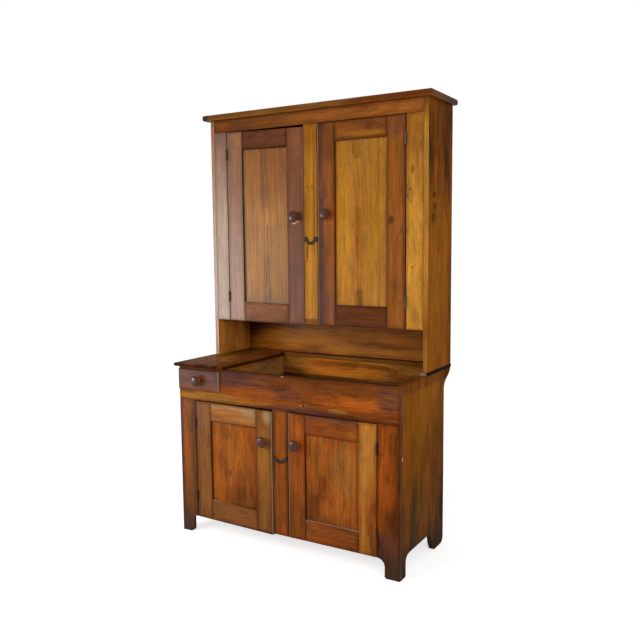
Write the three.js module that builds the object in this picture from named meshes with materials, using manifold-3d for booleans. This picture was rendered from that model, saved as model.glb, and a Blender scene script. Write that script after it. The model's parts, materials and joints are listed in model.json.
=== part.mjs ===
// A two-part dry sink cupboard in old pine: a base with an open well, a small drawer and two panel doors,
// and a shallower upper cupboard with two panel doors above an open shelf.
// Millimetres, +X to the right seen from the front, +Y to the back, +Z up.

import * as THREE from 'three';
import { mergeVertices } from 'three/addons/utils/BufferGeometryUtils.js';
import Module from 'manifold-3d';

const wasm = await Module();
wasm.setup();

// Case
const CASE_WIDTH = 1220;
const SIDE_THICKNESS = 22;
const FRAME_THICKNESS = 22;
const LEFT_STILE_WIDTH = 100;
const RIGHT_STILE_WIDTH = 108;

// Base
const BASE_HEIGHT = 854;
const BASE_DEPTH = 505;
const LOWER_MULLION_WIDTH = 86;
const FRONT_BOARD_HEIGHT = 165;
const LOWER_OPENING_BOTTOM = 87;
const LOWER_FLOOR_THICKNESS = 18;
const LOWER_FLOOR_RISE = 17;
const LOWER_BACK_THICKNESS = 18;

// Feet
const LEFT_FOOT_WIDTH = 66;
const RIGHT_FOOT_WIDTH = 73;
const LEFT_FOOT_HOLLOW = 15;
const RIGHT_FOOT_HOLLOW = 35;
const LEFT_FOOT_ROUNDING = 18;
const FOOT_ROUNDING = 10;
const ARCH_HEIGHT = 97;
const FRONT_FOOT_DEPTH = 62;
const FRONT_FOOT_COVE = 34;
const FRONT_FOOT_COVE_LENGTH = 46;
const BACK_FOOT_DEPTH = 162;
const BACK_FOOT_TOE = 56;
const BACK_FOOT_HEEL = 34;
const ARCH_CORNER = 24;
const ARCH_CORNER_SLANT = 10;

// Sweep of the back edge of the base: its height and how far its curve holds to each end
const CASE_DEPTH = 590;
const SWEEP_HEIGHT = 92;
const SWEEP_SHARES = { low: 0.57, out: 0.8, high: 0.5 };

// Well
const WELL_DEPTH = 106;
const WELL_WALL_THICKNESS = 24;
const WELL_BACK_THICKNESS = 18;
const WELL_FLOOR_THICKNESS = 18;
const LEDGE_DEPTH = 56;

// Worktop
const WORKTOP_THICKNESS = 18;
const WORKTOP_OVERHANG = 20;
const WORKTOP_WELL_OVERHANG = 4;
const WORKTOP_ROUNDING = 8;

// Strip under the right side of the upper case
const STRIP_THICKNESS = 17;
const STRIP_WIDTH = 37;
const STRIP_FRONT_REACH = 8;
const STRIP_BACK_REACH = 10;
const STRIP_ROUNDING = 4;

// Upper case
const UPPER_SET_BACK = 296;
const UPPER_TOP = 2100;
const UPPER_OPENING_BOTTOM = 1064;
const TOP_RAIL_HEIGHT = 64;
const UPPER_MULLION_WIDTH = 77;
const UPPER_FLOOR_THICKNESS = 20;
const UPPER_FLOOR_RISE = 2;
const UPPER_BACK_THICKNESS = 12;
const SHELF_THICKNESS = 18;
const SHELF_SET_BACK = 12;
const LOW_SHELF_SHARE = 0.33;
const HIGH_SHELF_SHARE = 0.66;

// Cornice
const CORNICE_THICKNESS = 29;
const CORNICE_OVERHANG = 25;
const CORNICE_LEFT_OVERHANG = 34;
const CORNICE_ROUNDING = 9;

// Doors
const DOOR_THICKNESS = 22;
const DOOR_GAP = 3;
const UPPER_DOOR_TOP_GAP = 2.5;
const LOWER_DOOR_TOP_GAP = 4;
const UPPER_DOOR_STILE = 94;
const UPPER_DOOR_TOP_RAIL = 90;
const UPPER_DOOR_BOTTOM_RAIL = 100;
const LOWER_DOOR_STILE = 90;
const LOWER_DOOR_TOP_RAIL = 92;
const LOWER_DOOR_BOTTOM_RAIL = 102;
const PANEL_RECESS = 10;
const PANEL_THICKNESS = 8;
const PANEL_TONGUE = 9;
const PANEL_PLAY = 0.4;
const UPPER_LEFT_SAG = 9;
const UPPER_RIGHT_SAG = 0;
const LOWER_LEFT_SAG = 8;
const LOWER_RIGHT_SAG = 0;

// Hinges
const HINGE_LENGTH = 52;
const HINGE_BARREL_RADIUS = 4;
const HINGE_BARREL_GAP = 1;
const HINGE_LEAF_THICKNESS = 1.2;
const HINGE_LEAF_DEPTH = 18;
const HINGE_BALL_REACH = 3;
const HINGE_KNUCKLES = 5;
const KNUCKLE_GROOVE = 0.5;
const UPPER_LEFT_HIGH_HINGE_INSET = 114;
const UPPER_RIGHT_HIGH_HINGE_INSET = 105;
const UPPER_LOW_HINGE_INSET = 125;
const LOWER_HINGE_INSET = 110;

// Knobs
const KNOB_RADIUS = 27;
const KNOB_REACH = 34;
const KNOB_FOOT_RADIUS = 12;
const KNOB_NECK_RADIUS = 9;
const UPPER_KNOB_HEIGHT = 1602;
const LOWER_KNOB_HEIGHT = 538;

// Turn buttons
const UPPER_BUTTON_ARM = 30;
const UPPER_BUTTON_HALF_WIDTH = 4.5;
const UPPER_BUTTON_HEAD_HALF_LENGTH = 8;
const UPPER_BUTTON_HEAD_HALF_WIDTH = 9;
const LOWER_BUTTON_ARM = 33;
const LOWER_BUTTON_HALF_WIDTH = 5.5;
const LOWER_BUTTON_HEAD_HALF_LENGTH = 6;
const LOWER_BUTTON_HEAD_HALF_WIDTH = 7;
const BUTTON_BOSS_RADIUS = 7;
const BUTTON_THICKNESS = 4;
const BUTTON_STAND_OFF = 2;
const BUTTON_PIVOT_OFFSET = 8;
const SCREW_RADIUS = 5;
const SCREW_HEIGHT = 2.5;
const UPPER_BUTTON_HEIGHT = 1463;
const LOWER_BUTTON_HEIGHT = 445;
const UPPER_BUTTON_TILT = 42;
const LOWER_BUTTON_TILT = 29;

// Drawer
const DRAWER_OPENING_LEFT = 24;
const DRAWER_OPENING_WIDTH = 226;
const DRAWER_OPENING_HEIGHT = 91;
const DRAWER_LIP_LEFT = 20;
const DRAWER_LIP_RIGHT = 6;
const DRAWER_LIP_BOTTOM = 7;
const DRAWER_LIP_TOP = 4;
const DRAWER_LIP_THICKNESS = 12;
const DRAWER_LIP_ROUNDING = 3;
const DRAWER_FRONT_DEPTH = 12;
const DRAWER_PLAY = 1.5;
const DRAWER_RUN_GAP = 0.5;
const DRAWER_BOARD_THICKNESS = 11;
const DRAWER_BOARD_DROP = 6;
const DRAWER_FLOOR_THICKNESS = 7;
const DRAWER_BACK_GAP = 40;

// Fineness of curves, and the distance under which points of a surface are one
const CURVE_STEPS = 10;
const ROUND_STEPS = 4;
const LATHE_STEPS = 28;
const WELD_DISTANCE = 0.0005;

// Heights and positions that follow from the values above
const FRONT_BOARD_BOTTOM = BASE_HEIGHT - FRONT_BOARD_HEIGHT;
const WELL_FLOOR_TOP = BASE_HEIGHT - WELL_DEPTH;
const WELL_FLOOR_BOTTOM = WELL_FLOOR_TOP - WELL_FLOOR_THICKNESS;
const WORKTOP_TOP = BASE_HEIGHT + WORKTOP_THICKNESS;
const INNER_LEFT = SIDE_THICKNESS;
const INNER_RIGHT = CASE_WIDTH - SIDE_THICKNESS;
const LEDGE_FRONT = CASE_DEPTH - LEDGE_DEPTH;
const DRAWER_OPENING_RIGHT = DRAWER_OPENING_LEFT + DRAWER_OPENING_WIDTH;
const WELL_WALL_LEFT = DRAWER_OPENING_RIGHT + DRAWER_LIP_RIGHT;
const WELL_LEFT = WELL_WALL_LEFT + WELL_WALL_THICKNESS;
const WORKTOP_RIGHT = WELL_LEFT + WORKTOP_WELL_OVERHANG;
const STRIP_LEFT = CASE_WIDTH - STRIP_WIDTH;
const STRIP_TOP = BASE_HEIGHT + STRIP_THICKNESS;
const LOWER_FLOOR_BOTTOM = LOWER_OPENING_BOTTOM + LOWER_FLOOR_RISE;
const LOWER_BACK_FRONT = BASE_DEPTH - LOWER_BACK_THICKNESS;
const FRAME_BACK = UPPER_SET_BACK + FRAME_THICKNESS;
const UPPER_BACK_FRONT = CASE_DEPTH - UPPER_BACK_THICKNESS;
const TOP_RAIL_BOTTOM = UPPER_TOP - TOP_RAIL_HEIGHT;
const UPPER_FLOOR_BOTTOM = UPPER_OPENING_BOTTOM + UPPER_FLOOR_RISE;
const UPPER_FLOOR_TOP = UPPER_FLOOR_BOTTOM + UPPER_FLOOR_THICKNESS;
const OPENINGS_WIDTH = CASE_WIDTH - LEFT_STILE_WIDTH - RIGHT_STILE_WIDTH;

// Wood and iron tones
const TONES = {
  side: { color: 0x7d4b18, roughness: 0.5 },
  cornice: { color: 0x70431a, roughness: 0.5 },
  rail: { color: 0x84492a, roughness: 0.4 },
  redStile: { color: 0x7f4425, roughness: 0.4 },
  goldStile: { color: 0xa56f2a, roughness: 0.4 },
  mullion: { color: 0xb07c26, roughness: 0.4 },
  lowMullion: { color: 0x98521a, roughness: 0.4 },
  darkStile: { color: 0x6b2f17, roughness: 0.4 },
  door: { color: 0x7c4526, roughness: 0.35 },
  panel: { color: 0xa56f2c, roughness: 0.4 },
  lowPanel: { color: 0x8c4a1c, roughness: 0.4 },
  front: { color: 0x7e4120, roughness: 0.35 },
  worktop: { color: 0x2e1c10, roughness: 0.25 },
  well: { color: 0x6b4a18, roughness: 0.55 },
  inside: { color: 0x8a6434, roughness: 0.75 },
  drawer: { color: 0x6d4234, roughness: 0.35 },
  knob: { color: 0x35201f, roughness: 0.25 },
  iron: { color: 0x231f1d, roughness: 0.55, metalness: 0.8 },
};

function material(tone) {
  return new THREE.MeshStandardMaterial({ metalness: 0, ...TONES[tone] });
}

function piece(name, geometry, tone) {
  const mesh = new THREE.Mesh(geometry, material(tone));
  mesh.name = name;
  return mesh;
}

// A rectangular board between two corners.
function board(name, tone, [x0, y0, z0], [x1, y1, z1]) {
  const geometry = new THREE.BoxGeometry(x1 - x0, y1 - y0, z1 - z0);
  geometry.translate((x0 + x1) / 2, (y0 + y1) / 2, (z0 + z1) / 2);
  return piece(name, geometry, tone);
}

// An outline in the plane of the front, given thickness towards the back from y.
function frontSlab(shape, y, thickness) {
  const options = { depth: thickness, bevelEnabled: false, curveSegments: CURVE_STEPS };
  const geometry = new THREE.ExtrudeGeometry(shape, options);
  geometry.rotateX(Math.PI / 2);
  geometry.translate(0, y + thickness, 0);
  return geometry;
}

// An outline of depth and height, given thickness towards the right from x.
function sideSlab(shape, x, thickness) {
  const options = { depth: thickness, bevelEnabled: false, curveSegments: CURVE_STEPS };
  const geometry = new THREE.ExtrudeGeometry(shape, options);
  geometry.rotateX(Math.PI / 2);
  geometry.rotateZ(Math.PI / 2);
  geometry.translate(x, 0, 0);
  return geometry;
}

// A board lying flat whose edges are rounded all round.
function roundedBoard(x0, y0, z0, x1, y1, z1, rounding) {
  const shape = new THREE.Shape();
  shape.moveTo(x0 + rounding, y0 + rounding);
  shape.lineTo(x1 - rounding, y0 + rounding);
  shape.lineTo(x1 - rounding, y1 - rounding);
  shape.lineTo(x0 + rounding, y1 - rounding);
  shape.closePath();
  const flat = z1 - z0 - rounding - rounding;
  const options = {
    depth: flat,
    bevelEnabled: true,
    bevelThickness: rounding,
    bevelSize: rounding,
    bevelSegments: ROUND_STEPS,
  };
  const geometry = new THREE.ExtrudeGeometry(shape, options);
  geometry.translate(0, 0, z0 + rounding);
  return geometry;
}

function toSolid(geometry) {
  const bare = new THREE.BufferGeometry();
  const source = geometry.index ? geometry.toNonIndexed() : geometry;
  bare.setAttribute('position', source.getAttribute('position'));
  const merged = mergeVertices(bare, WELD_DISTANCE);
  const corners = [];
  for (let i = 0; i < merged.index.count; i += 3) {
    const [a, b, c] = merged.index.array.slice(i, i + 3);
    if (a !== b && b !== c && c !== a) {
      corners.push(a, b, c);
    }
  }
  const mesh = new wasm.Mesh({
    numProp: 3,
    vertProperties: merged.getAttribute('position').array,
    triVerts: new Uint32Array(corners),
  });
  return new wasm.Manifold(mesh);
}

function toGeometry(solid) {
  const mesh = solid.getMesh();
  const geometry = new THREE.BufferGeometry();
  const points = new Float32Array(mesh.numVert * 3);
  for (let i = 0; i < mesh.numVert; i += 1) {
    for (let axis = 0; axis < 3; axis += 1) {
      points[i * 3 + axis] = mesh.vertProperties[i * mesh.numProp + axis];
    }
  }
  geometry.setAttribute('position', new THREE.BufferAttribute(points, 3));
  geometry.setIndex(new THREE.BufferAttribute(new Uint32Array(mesh.triVerts), 1));
  const flat = geometry.toNonIndexed();
  flat.computeVertexNormals();
  return flat;
}

function joined(...geometries) {
  const solids = geometries.map(toSolid);
  return toGeometry(solids.reduce((whole, solid) => whole.add(solid)));
}

function cut(geometry, tool) {
  return toGeometry(toSolid(geometry).subtract(toSolid(tool)));
}

// Points of an arc between two angles in degrees, with its own radius each way.
function arc(centreX, centreY, radiusX, radiusY, from, to) {
  const points = [];
  for (let step = 0; step <= CURVE_STEPS; step += 1) {
    const angle = THREE.MathUtils.degToRad(from + ((to - from) * step) / CURVE_STEPS);
    points.push([centreX + radiusX * Math.cos(angle), centreY + radiusY * Math.sin(angle)]);
  }
  return points;
}

function outline(points) {
  return new THREE.Shape(points.map(([x, y]) => new THREE.Vector2(x, y)));
}

function rectangle(x0, y0, x1, y1) {
  const [left, right] = x0 < x1 ? [x0, x1] : [x1, x0];
  return [[left, y0], [right, y0], [right, y1], [left, y1]];
}

// A side board of the base: an arch between the feet, and a back edge that sweeps out under the ledge.
function baseSide(name, x) {
  const shape = new THREE.Shape();
  const archEnd = BASE_DEPTH - BACK_FOOT_DEPTH;
  const coveEnd = FRONT_FOOT_DEPTH + FRONT_FOOT_COVE_LENGTH;
  const cornerFoot = archEnd + ARCH_CORNER_SLANT;
  const sweep = CASE_DEPTH - BASE_DEPTH;
  const sweepStart = BASE_HEIGHT - SWEEP_HEIGHT;
  shape.moveTo(FRAME_THICKNESS, 0);
  shape.lineTo(FRONT_FOOT_DEPTH - FOOT_ROUNDING, 0);
  shape.quadraticCurveTo(FRONT_FOOT_DEPTH, 0, FRONT_FOOT_DEPTH, FOOT_ROUNDING);
  shape.lineTo(FRONT_FOOT_DEPTH, ARCH_HEIGHT - FRONT_FOOT_COVE);
  shape.quadraticCurveTo(FRONT_FOOT_DEPTH, ARCH_HEIGHT, coveEnd, ARCH_HEIGHT);
  shape.lineTo(archEnd - ARCH_CORNER, ARCH_HEIGHT);
  shape.quadraticCurveTo(archEnd, ARCH_HEIGHT, cornerFoot, ARCH_HEIGHT - ARCH_CORNER);
  shape.quadraticCurveTo(archEnd + BACK_FOOT_TOE / 2, 0, archEnd + BACK_FOOT_TOE, 0);
  shape.lineTo(BASE_DEPTH - BACK_FOOT_HEEL, 0);
  shape.quadraticCurveTo(BASE_DEPTH, 0, BASE_DEPTH, BACK_FOOT_HEEL);
  shape.lineTo(BASE_DEPTH, sweepStart);
  shape.bezierCurveTo(
    BASE_DEPTH,
    sweepStart + SWEEP_HEIGHT * SWEEP_SHARES.low,
    BASE_DEPTH + sweep * SWEEP_SHARES.out,
    sweepStart + SWEEP_HEIGHT * SWEEP_SHARES.high,
    CASE_DEPTH,
    BASE_HEIGHT,
  );
  shape.lineTo(FRAME_THICKNESS, BASE_HEIGHT);
  shape.closePath();
  return piece(name, sideSlab(shape, x, SIDE_THICKNESS), 'side');
}

const leftFoot = { width: LEFT_FOOT_WIDTH, hollow: LEFT_FOOT_HOLLOW, rounding: LEFT_FOOT_ROUNDING };
const rightFoot = { width: RIGHT_FOOT_WIDTH, hollow: RIGHT_FOOT_HOLLOW, rounding: FOOT_ROUNDING };

// A stile of the base that runs down as a foot with a hollow cut in its inner edge.
function footedStile(name, width, foot, mirrored) {
  const hollow = Math.min(foot.hollow, width - foot.width);
  const hollowFoot = LOWER_OPENING_BOTTOM - hollow;
  const points = [[0, 0]];
  points.push(...arc(foot.width - foot.rounding, foot.rounding, foot.rounding, foot.rounding, -90, 0));
  points.push(...arc(foot.width + hollow, hollowFoot, hollow, hollow, 180, 90));
  if (foot.width + hollow < width) {
    points.push([width, LOWER_OPENING_BOTTOM]);
  }
  points.push([width, FRONT_BOARD_BOTTOM], [0, FRONT_BOARD_BOTTOM]);
  const placed = mirrored ? points.map(([x, y]) => [CASE_WIDTH - x, y]) : points;
  return piece(name, frontSlab(outline(placed), 0, FRAME_THICKNESS), mirrored ? 'darkStile' : 'redStile');
}

function frontBoard() {
  const shape = outline(rectangle(0, FRONT_BOARD_BOTTOM, CASE_WIDTH, BASE_HEIGHT));
  const openingTop = WELL_FLOOR_TOP + DRAWER_OPENING_HEIGHT;
  const opening = rectangle(DRAWER_OPENING_LEFT, WELL_FLOOR_TOP, DRAWER_OPENING_RIGHT, openingTop);
  shape.holes.push(outline(opening));
  return piece('sink_front_board', frontSlab(shape, 0, FRAME_THICKNESS), 'front');
}

function baseCase() {
  const openingWidth = (OPENINGS_WIDTH - LOWER_MULLION_WIDTH) / 2;
  const mullionLeft = LEFT_STILE_WIDTH + openingWidth;
  const mullionRight = mullionLeft + LOWER_MULLION_WIDTH;
  const floorTop = LOWER_FLOOR_BOTTOM + LOWER_FLOOR_THICKNESS;
  return [
    baseSide('lower_left_side', 0),
    baseSide('lower_right_side', INNER_RIGHT),
    footedStile('lower_left_stile', LEFT_STILE_WIDTH, leftFoot, false),
    footedStile('lower_right_stile', RIGHT_STILE_WIDTH, rightFoot, true),
    frontBoard(),
    board('lower_mullion', 'lowMullion',
      [mullionLeft, 0, LOWER_OPENING_BOTTOM], [mullionRight, FRAME_THICKNESS, FRONT_BOARD_BOTTOM]),
    board('lower_bottom_board', 'inside',
      [INNER_LEFT, FRAME_THICKNESS, LOWER_FLOOR_BOTTOM], [INNER_RIGHT, LOWER_BACK_FRONT, floorTop]),
    board('lower_back', 'inside',
      [INNER_LEFT, LOWER_BACK_FRONT, LOWER_FLOOR_BOTTOM], [INNER_RIGHT, BASE_DEPTH, WELL_FLOOR_BOTTOM]),
  ];
}

function well() {
  const wellBack = LEDGE_FRONT + WELL_BACK_THICKNESS;
  return [
    board('well_bottom', 'well',
      [INNER_LEFT, FRAME_THICKNESS, WELL_FLOOR_BOTTOM], [INNER_RIGHT, wellBack, WELL_FLOOR_TOP]),
    board('well_left_wall', 'well',
      [WELL_WALL_LEFT, FRAME_THICKNESS, WELL_FLOOR_TOP], [WELL_LEFT, LEDGE_FRONT, BASE_HEIGHT]),
    board('well_right_wall', 'well',
      [STRIP_LEFT, FRAME_THICKNESS, WELL_FLOOR_TOP], [INNER_RIGHT, LEDGE_FRONT, BASE_HEIGHT]),
    board('well_back_wall', 'well',
      [INNER_LEFT, LEDGE_FRONT, WELL_FLOOR_TOP], [INNER_RIGHT, wellBack, BASE_HEIGHT]),
  ];
}

function tops() {
  const worktop = roundedBoard(
    -WORKTOP_OVERHANG, -WORKTOP_OVERHANG, BASE_HEIGHT,
    WORKTOP_RIGHT, CASE_DEPTH, WORKTOP_TOP, WORKTOP_ROUNDING);
  const strip = roundedBoard(
    STRIP_LEFT, UPPER_SET_BACK - STRIP_FRONT_REACH, BASE_HEIGHT,
    CASE_WIDTH, CASE_DEPTH + STRIP_BACK_REACH, STRIP_TOP, STRIP_ROUNDING);
  return [
    piece('worktop', worktop, 'worktop'),
    board('back_ledge', 'worktop',
      [WORKTOP_RIGHT, LEDGE_FRONT, BASE_HEIGHT], [STRIP_LEFT, CASE_DEPTH, WORKTOP_TOP]),
    piece('upper_rest_strip', strip, 'worktop'),
  ];
}

function upperCase() {
  const openingWidth = (OPENINGS_WIDTH - UPPER_MULLION_WIDTH) / 2;
  const mullionLeft = LEFT_STILE_WIDTH + openingWidth;
  const mullionRight = mullionLeft + UPPER_MULLION_WIDTH;
  const rightStileLeft = CASE_WIDTH - RIGHT_STILE_WIDTH;
  const shelfFront = FRAME_BACK + SHELF_SET_BACK;
  const roomHeight = UPPER_TOP - UPPER_FLOOR_TOP;
  const shelf = (name, share) => {
    const bottom = UPPER_FLOOR_TOP + roomHeight * share;
    return board(name, 'inside',
      [INNER_LEFT, shelfFront, bottom], [INNER_RIGHT, UPPER_BACK_FRONT, bottom + SHELF_THICKNESS]);
  };
  const cornice = roundedBoard(
    -CORNICE_LEFT_OVERHANG, UPPER_SET_BACK - CORNICE_OVERHANG, UPPER_TOP,
    CASE_WIDTH + CORNICE_OVERHANG, CASE_DEPTH, UPPER_TOP + CORNICE_THICKNESS, CORNICE_ROUNDING);
  return [
    board('upper_left_side', 'side',
      [0, UPPER_SET_BACK, WORKTOP_TOP], [SIDE_THICKNESS, CASE_DEPTH, UPPER_TOP]),
    board('upper_right_side', 'side',
      [INNER_RIGHT, UPPER_SET_BACK, STRIP_TOP], [CASE_WIDTH, CASE_DEPTH, UPPER_TOP]),
    piece('upper_cornice', cornice, 'cornice'),
    board('upper_top_rail', 'rail',
      [INNER_LEFT, UPPER_SET_BACK, TOP_RAIL_BOTTOM], [INNER_RIGHT, FRAME_BACK, UPPER_TOP]),
    board('upper_left_stile', 'redStile',
      [INNER_LEFT, UPPER_SET_BACK, UPPER_OPENING_BOTTOM], [LEFT_STILE_WIDTH, FRAME_BACK, TOP_RAIL_BOTTOM]),
    board('upper_mullion', 'mullion',
      [mullionLeft, UPPER_SET_BACK, UPPER_OPENING_BOTTOM], [mullionRight, FRAME_BACK, TOP_RAIL_BOTTOM]),
    board('upper_right_stile', 'goldStile',
      [rightStileLeft, UPPER_SET_BACK, UPPER_OPENING_BOTTOM], [INNER_RIGHT, FRAME_BACK, TOP_RAIL_BOTTOM]),
    board('upper_bottom_board', 'inside',
      [INNER_LEFT, FRAME_BACK, UPPER_FLOOR_BOTTOM], [INNER_RIGHT, UPPER_BACK_FRONT, UPPER_FLOOR_TOP]),
    shelf('upper_low_shelf', LOW_SHELF_SHARE),
    shelf('upper_high_shelf', HIGH_SHELF_SHARE),
    board('upper_back', 'inside',
      [INNER_LEFT, UPPER_BACK_FRONT, UPPER_FLOOR_BOTTOM], [INNER_RIGHT, CASE_DEPTH, UPPER_TOP]),
    board('shelf_back', 'well',
      [INNER_LEFT, UPPER_BACK_FRONT, WORKTOP_TOP], [INNER_RIGHT, CASE_DEPTH, UPPER_FLOOR_BOTTOM]),
  ];
}

// A framed door with a flat panel held in a groove. Its free edge hangs lower than its hinge edge by its sag.
function door(spec) {
  const { name, hinge, free, face, bottom, top, stile, topRail, bottomRail, sag, tone, panelTone } = spec;
  const toward = Math.sign(free - hinge);
  const lean = (x) => (sag * (x - hinge)) / (free - hinge);
  const window = (grow) => {
    const near = hinge + toward * (stile - grow);
    const far = free - toward * (stile - grow);
    const low = bottom + bottomRail - grow;
    const high = top - topRail + grow;
    return rectangle(near, low, far, high);
  };
  const hung = (points) => outline(points.map(([x, y]) => [x, y - lean(x)]));
  const whole = hung(rectangle(hinge, bottom, free, top));
  whole.holes.push(hung(window(0)));
  const grooveDepth = PANEL_THICKNESS + PANEL_PLAY;
  const groove = frontSlab(hung(window(PANEL_TONGUE + PANEL_PLAY)), face + PANEL_RECESS, grooveDepth);
  const frame = cut(frontSlab(whole, face, DOOR_THICKNESS), groove);
  const panel = frontSlab(hung(window(PANEL_TONGUE)), face + PANEL_RECESS, PANEL_THICKNESS);
  return [piece(`${name}_door_frame`, frame, tone), piece(`${name}_door_panel`, panel, panelTone)];
}

// A round piece from its profile of radius and height, its axis towards the front.
function turned(profile) {
  const points = profile.map(([radius, height]) => new THREE.Vector2(radius, height));
  const geometry = toGeometry(toSolid(new THREE.LatheGeometry(points, LATHE_STEPS)));
  geometry.rotateX(Math.PI);
  return geometry;
}

const KNOB_SHARES = {
  foot: 0.06,
  neck: 0.2,
  flareRadius: 0.82,
  flare: 0.56,
  rim: 0.7,
  brow: 0.88,
  browRadius: 0.88,
  crown: 0.97,
  crownRadius: 0.56,
};

function knob(name, x, face, z) {
  const geometry = turned([
    [0, 0],
    [KNOB_FOOT_RADIUS, 0],
    [KNOB_FOOT_RADIUS, KNOB_REACH * KNOB_SHARES.foot],
    [KNOB_NECK_RADIUS, KNOB_REACH * KNOB_SHARES.neck],
    [KNOB_RADIUS * KNOB_SHARES.flareRadius, KNOB_REACH * KNOB_SHARES.flare],
    [KNOB_RADIUS, KNOB_REACH * KNOB_SHARES.rim],
    [KNOB_RADIUS * KNOB_SHARES.browRadius, KNOB_REACH * KNOB_SHARES.brow],
    [KNOB_RADIUS * KNOB_SHARES.crownRadius, KNOB_REACH * KNOB_SHARES.crown],
    [0, KNOB_REACH],
  ]);
  geometry.translate(x, face, z);
  return piece(name, geometry, 'knob');
}

// The barrel of a hinge with its knuckle grooves and ball ends, and the leaf along the edge of the frame.
function hinge(name, frameEdge, toward, face, z) {
  const half = HINGE_LENGTH / 2;
  const profile = [[0, -half - HINGE_BALL_REACH]];
  profile.push([HINGE_BARREL_RADIUS - KNUCKLE_GROOVE, -half - KNUCKLE_GROOVE]);
  for (let step = 0; step < HINGE_KNUCKLES; step += 1) {
    const low = -half + (HINGE_LENGTH * step) / HINGE_KNUCKLES;
    const high = -half + (HINGE_LENGTH * (step + 1)) / HINGE_KNUCKLES;
    profile.push([HINGE_BARREL_RADIUS - KNUCKLE_GROOVE, low]);
    profile.push([HINGE_BARREL_RADIUS, low + KNUCKLE_GROOVE]);
    profile.push([HINGE_BARREL_RADIUS, high - KNUCKLE_GROOVE]);
  }
  profile.push([HINGE_BARREL_RADIUS - KNUCKLE_GROOVE, half]);
  profile.push([0, half + HINGE_BALL_REACH]);
  const barrel = turned(profile);
  barrel.rotateX(Math.PI / 2);
  const barrelY = face - HINGE_BARREL_GAP - HINGE_BARREL_RADIUS;
  barrel.translate(frameEdge + (toward * DOOR_GAP) / 2, barrelY, z);
  const leafEdge = frameEdge + toward * HINGE_LEAF_THICKNESS;
  const left = Math.min(frameEdge, leafEdge);
  const right = Math.max(frameEdge, leafEdge);
  const leaf = board('leaf', 'iron', [left, barrelY, z - half], [right, face + HINGE_LEAF_DEPTH, z + half]);
  return piece(name, joined(barrel, leaf.geometry), 'iron');
}

// A turn button on its screw. Side is -1 for an arm to the left and 1 for an arm to the right.
function button(name, pivotX, side, face, z, shape) {
  const plate = -BUTTON_STAND_OFF - BUTTON_THICKNESS;
  const armEnd = side * shape.arm;
  const boss = outline(arc(0, 0, BUTTON_BOSS_RADIUS, BUTTON_BOSS_RADIUS, 0, 360).slice(1));
  const headPoints = arc(armEnd, 0, shape.headHalfLength, shape.headHalfWidth, 0, 360).slice(1);
  const left = Math.min(0, armEnd);
  const right = Math.max(0, armEnd);
  const arm = outline(rectangle(left, -shape.halfWidth, right, shape.halfWidth));
  const screw = turned([
    [0, 0],
    [SCREW_RADIUS, 0],
    [SCREW_RADIUS, BUTTON_STAND_OFF + BUTTON_THICKNESS],
    [SCREW_RADIUS / 2, BUTTON_STAND_OFF + BUTTON_THICKNESS + SCREW_HEIGHT],
    [0, BUTTON_STAND_OFF + BUTTON_THICKNESS + SCREW_HEIGHT],
  ]);
  const geometry = joined(
    frontSlab(boss, plate, BUTTON_THICKNESS),
    frontSlab(arm, plate, BUTTON_THICKNESS),
    frontSlab(outline(headPoints), plate, BUTTON_THICKNESS),
    screw,
  );
  geometry.rotateY(THREE.MathUtils.degToRad(-side * shape.tilt));
  geometry.translate(pivotX, face, z);
  return piece(name, geometry, 'iron');
}

// Two doors with their knobs, hinges and turn buttons, in one row.
function doorRow(row) {
  const openingWidth = (OPENINGS_WIDTH - row.mullionWidth) / 2;
  const mullionMiddle = LEFT_STILE_WIDTH + openingWidth + row.mullionWidth / 2;
  const parts = [];
  for (const side of ['left', 'right']) {
    const isLeft = side === 'left';
    const toward = isLeft ? 1 : -1;
    const frameEdge = isLeft ? LEFT_STILE_WIDTH : CASE_WIDTH - RIGHT_STILE_WIDTH;
    const hingeEdge = frameEdge + toward * DOOR_GAP;
    const free = frameEdge + toward * (openingWidth - DOOR_GAP);
    const name = `${row.name}_${side}`;
    const knobX = free - (toward * row.stile) / 2;
    const knobDrop = (row.sags[side] * (knobX - hingeEdge)) / (free - hingeEdge);
    const highHinge = row.top - row.highHingeInsets[side];
    const lowHinge = row.bottom + row.lowHingeInset;
    const pivot = mullionMiddle - toward * BUTTON_PIVOT_OFFSET;
    parts.push(
      ...door({
        ...row,
        name,
        hinge: hingeEdge,
        free,
        sag: row.sags[side],
        tone: row.tones[side],
        panelTone: row.tones.panel,
      }),
      knob(`${name}_knob`, knobX, row.face, row.knobHeight - knobDrop),
      hinge(`${name}_high_hinge`, frameEdge, toward, row.face, highHinge),
      hinge(`${name}_low_hinge`, frameEdge, toward, row.face, lowHinge),
      button(`${name}_button`, pivot, -toward, row.face, row.buttonHeight, row.button),
    );
  }
  return parts;
}

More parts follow.
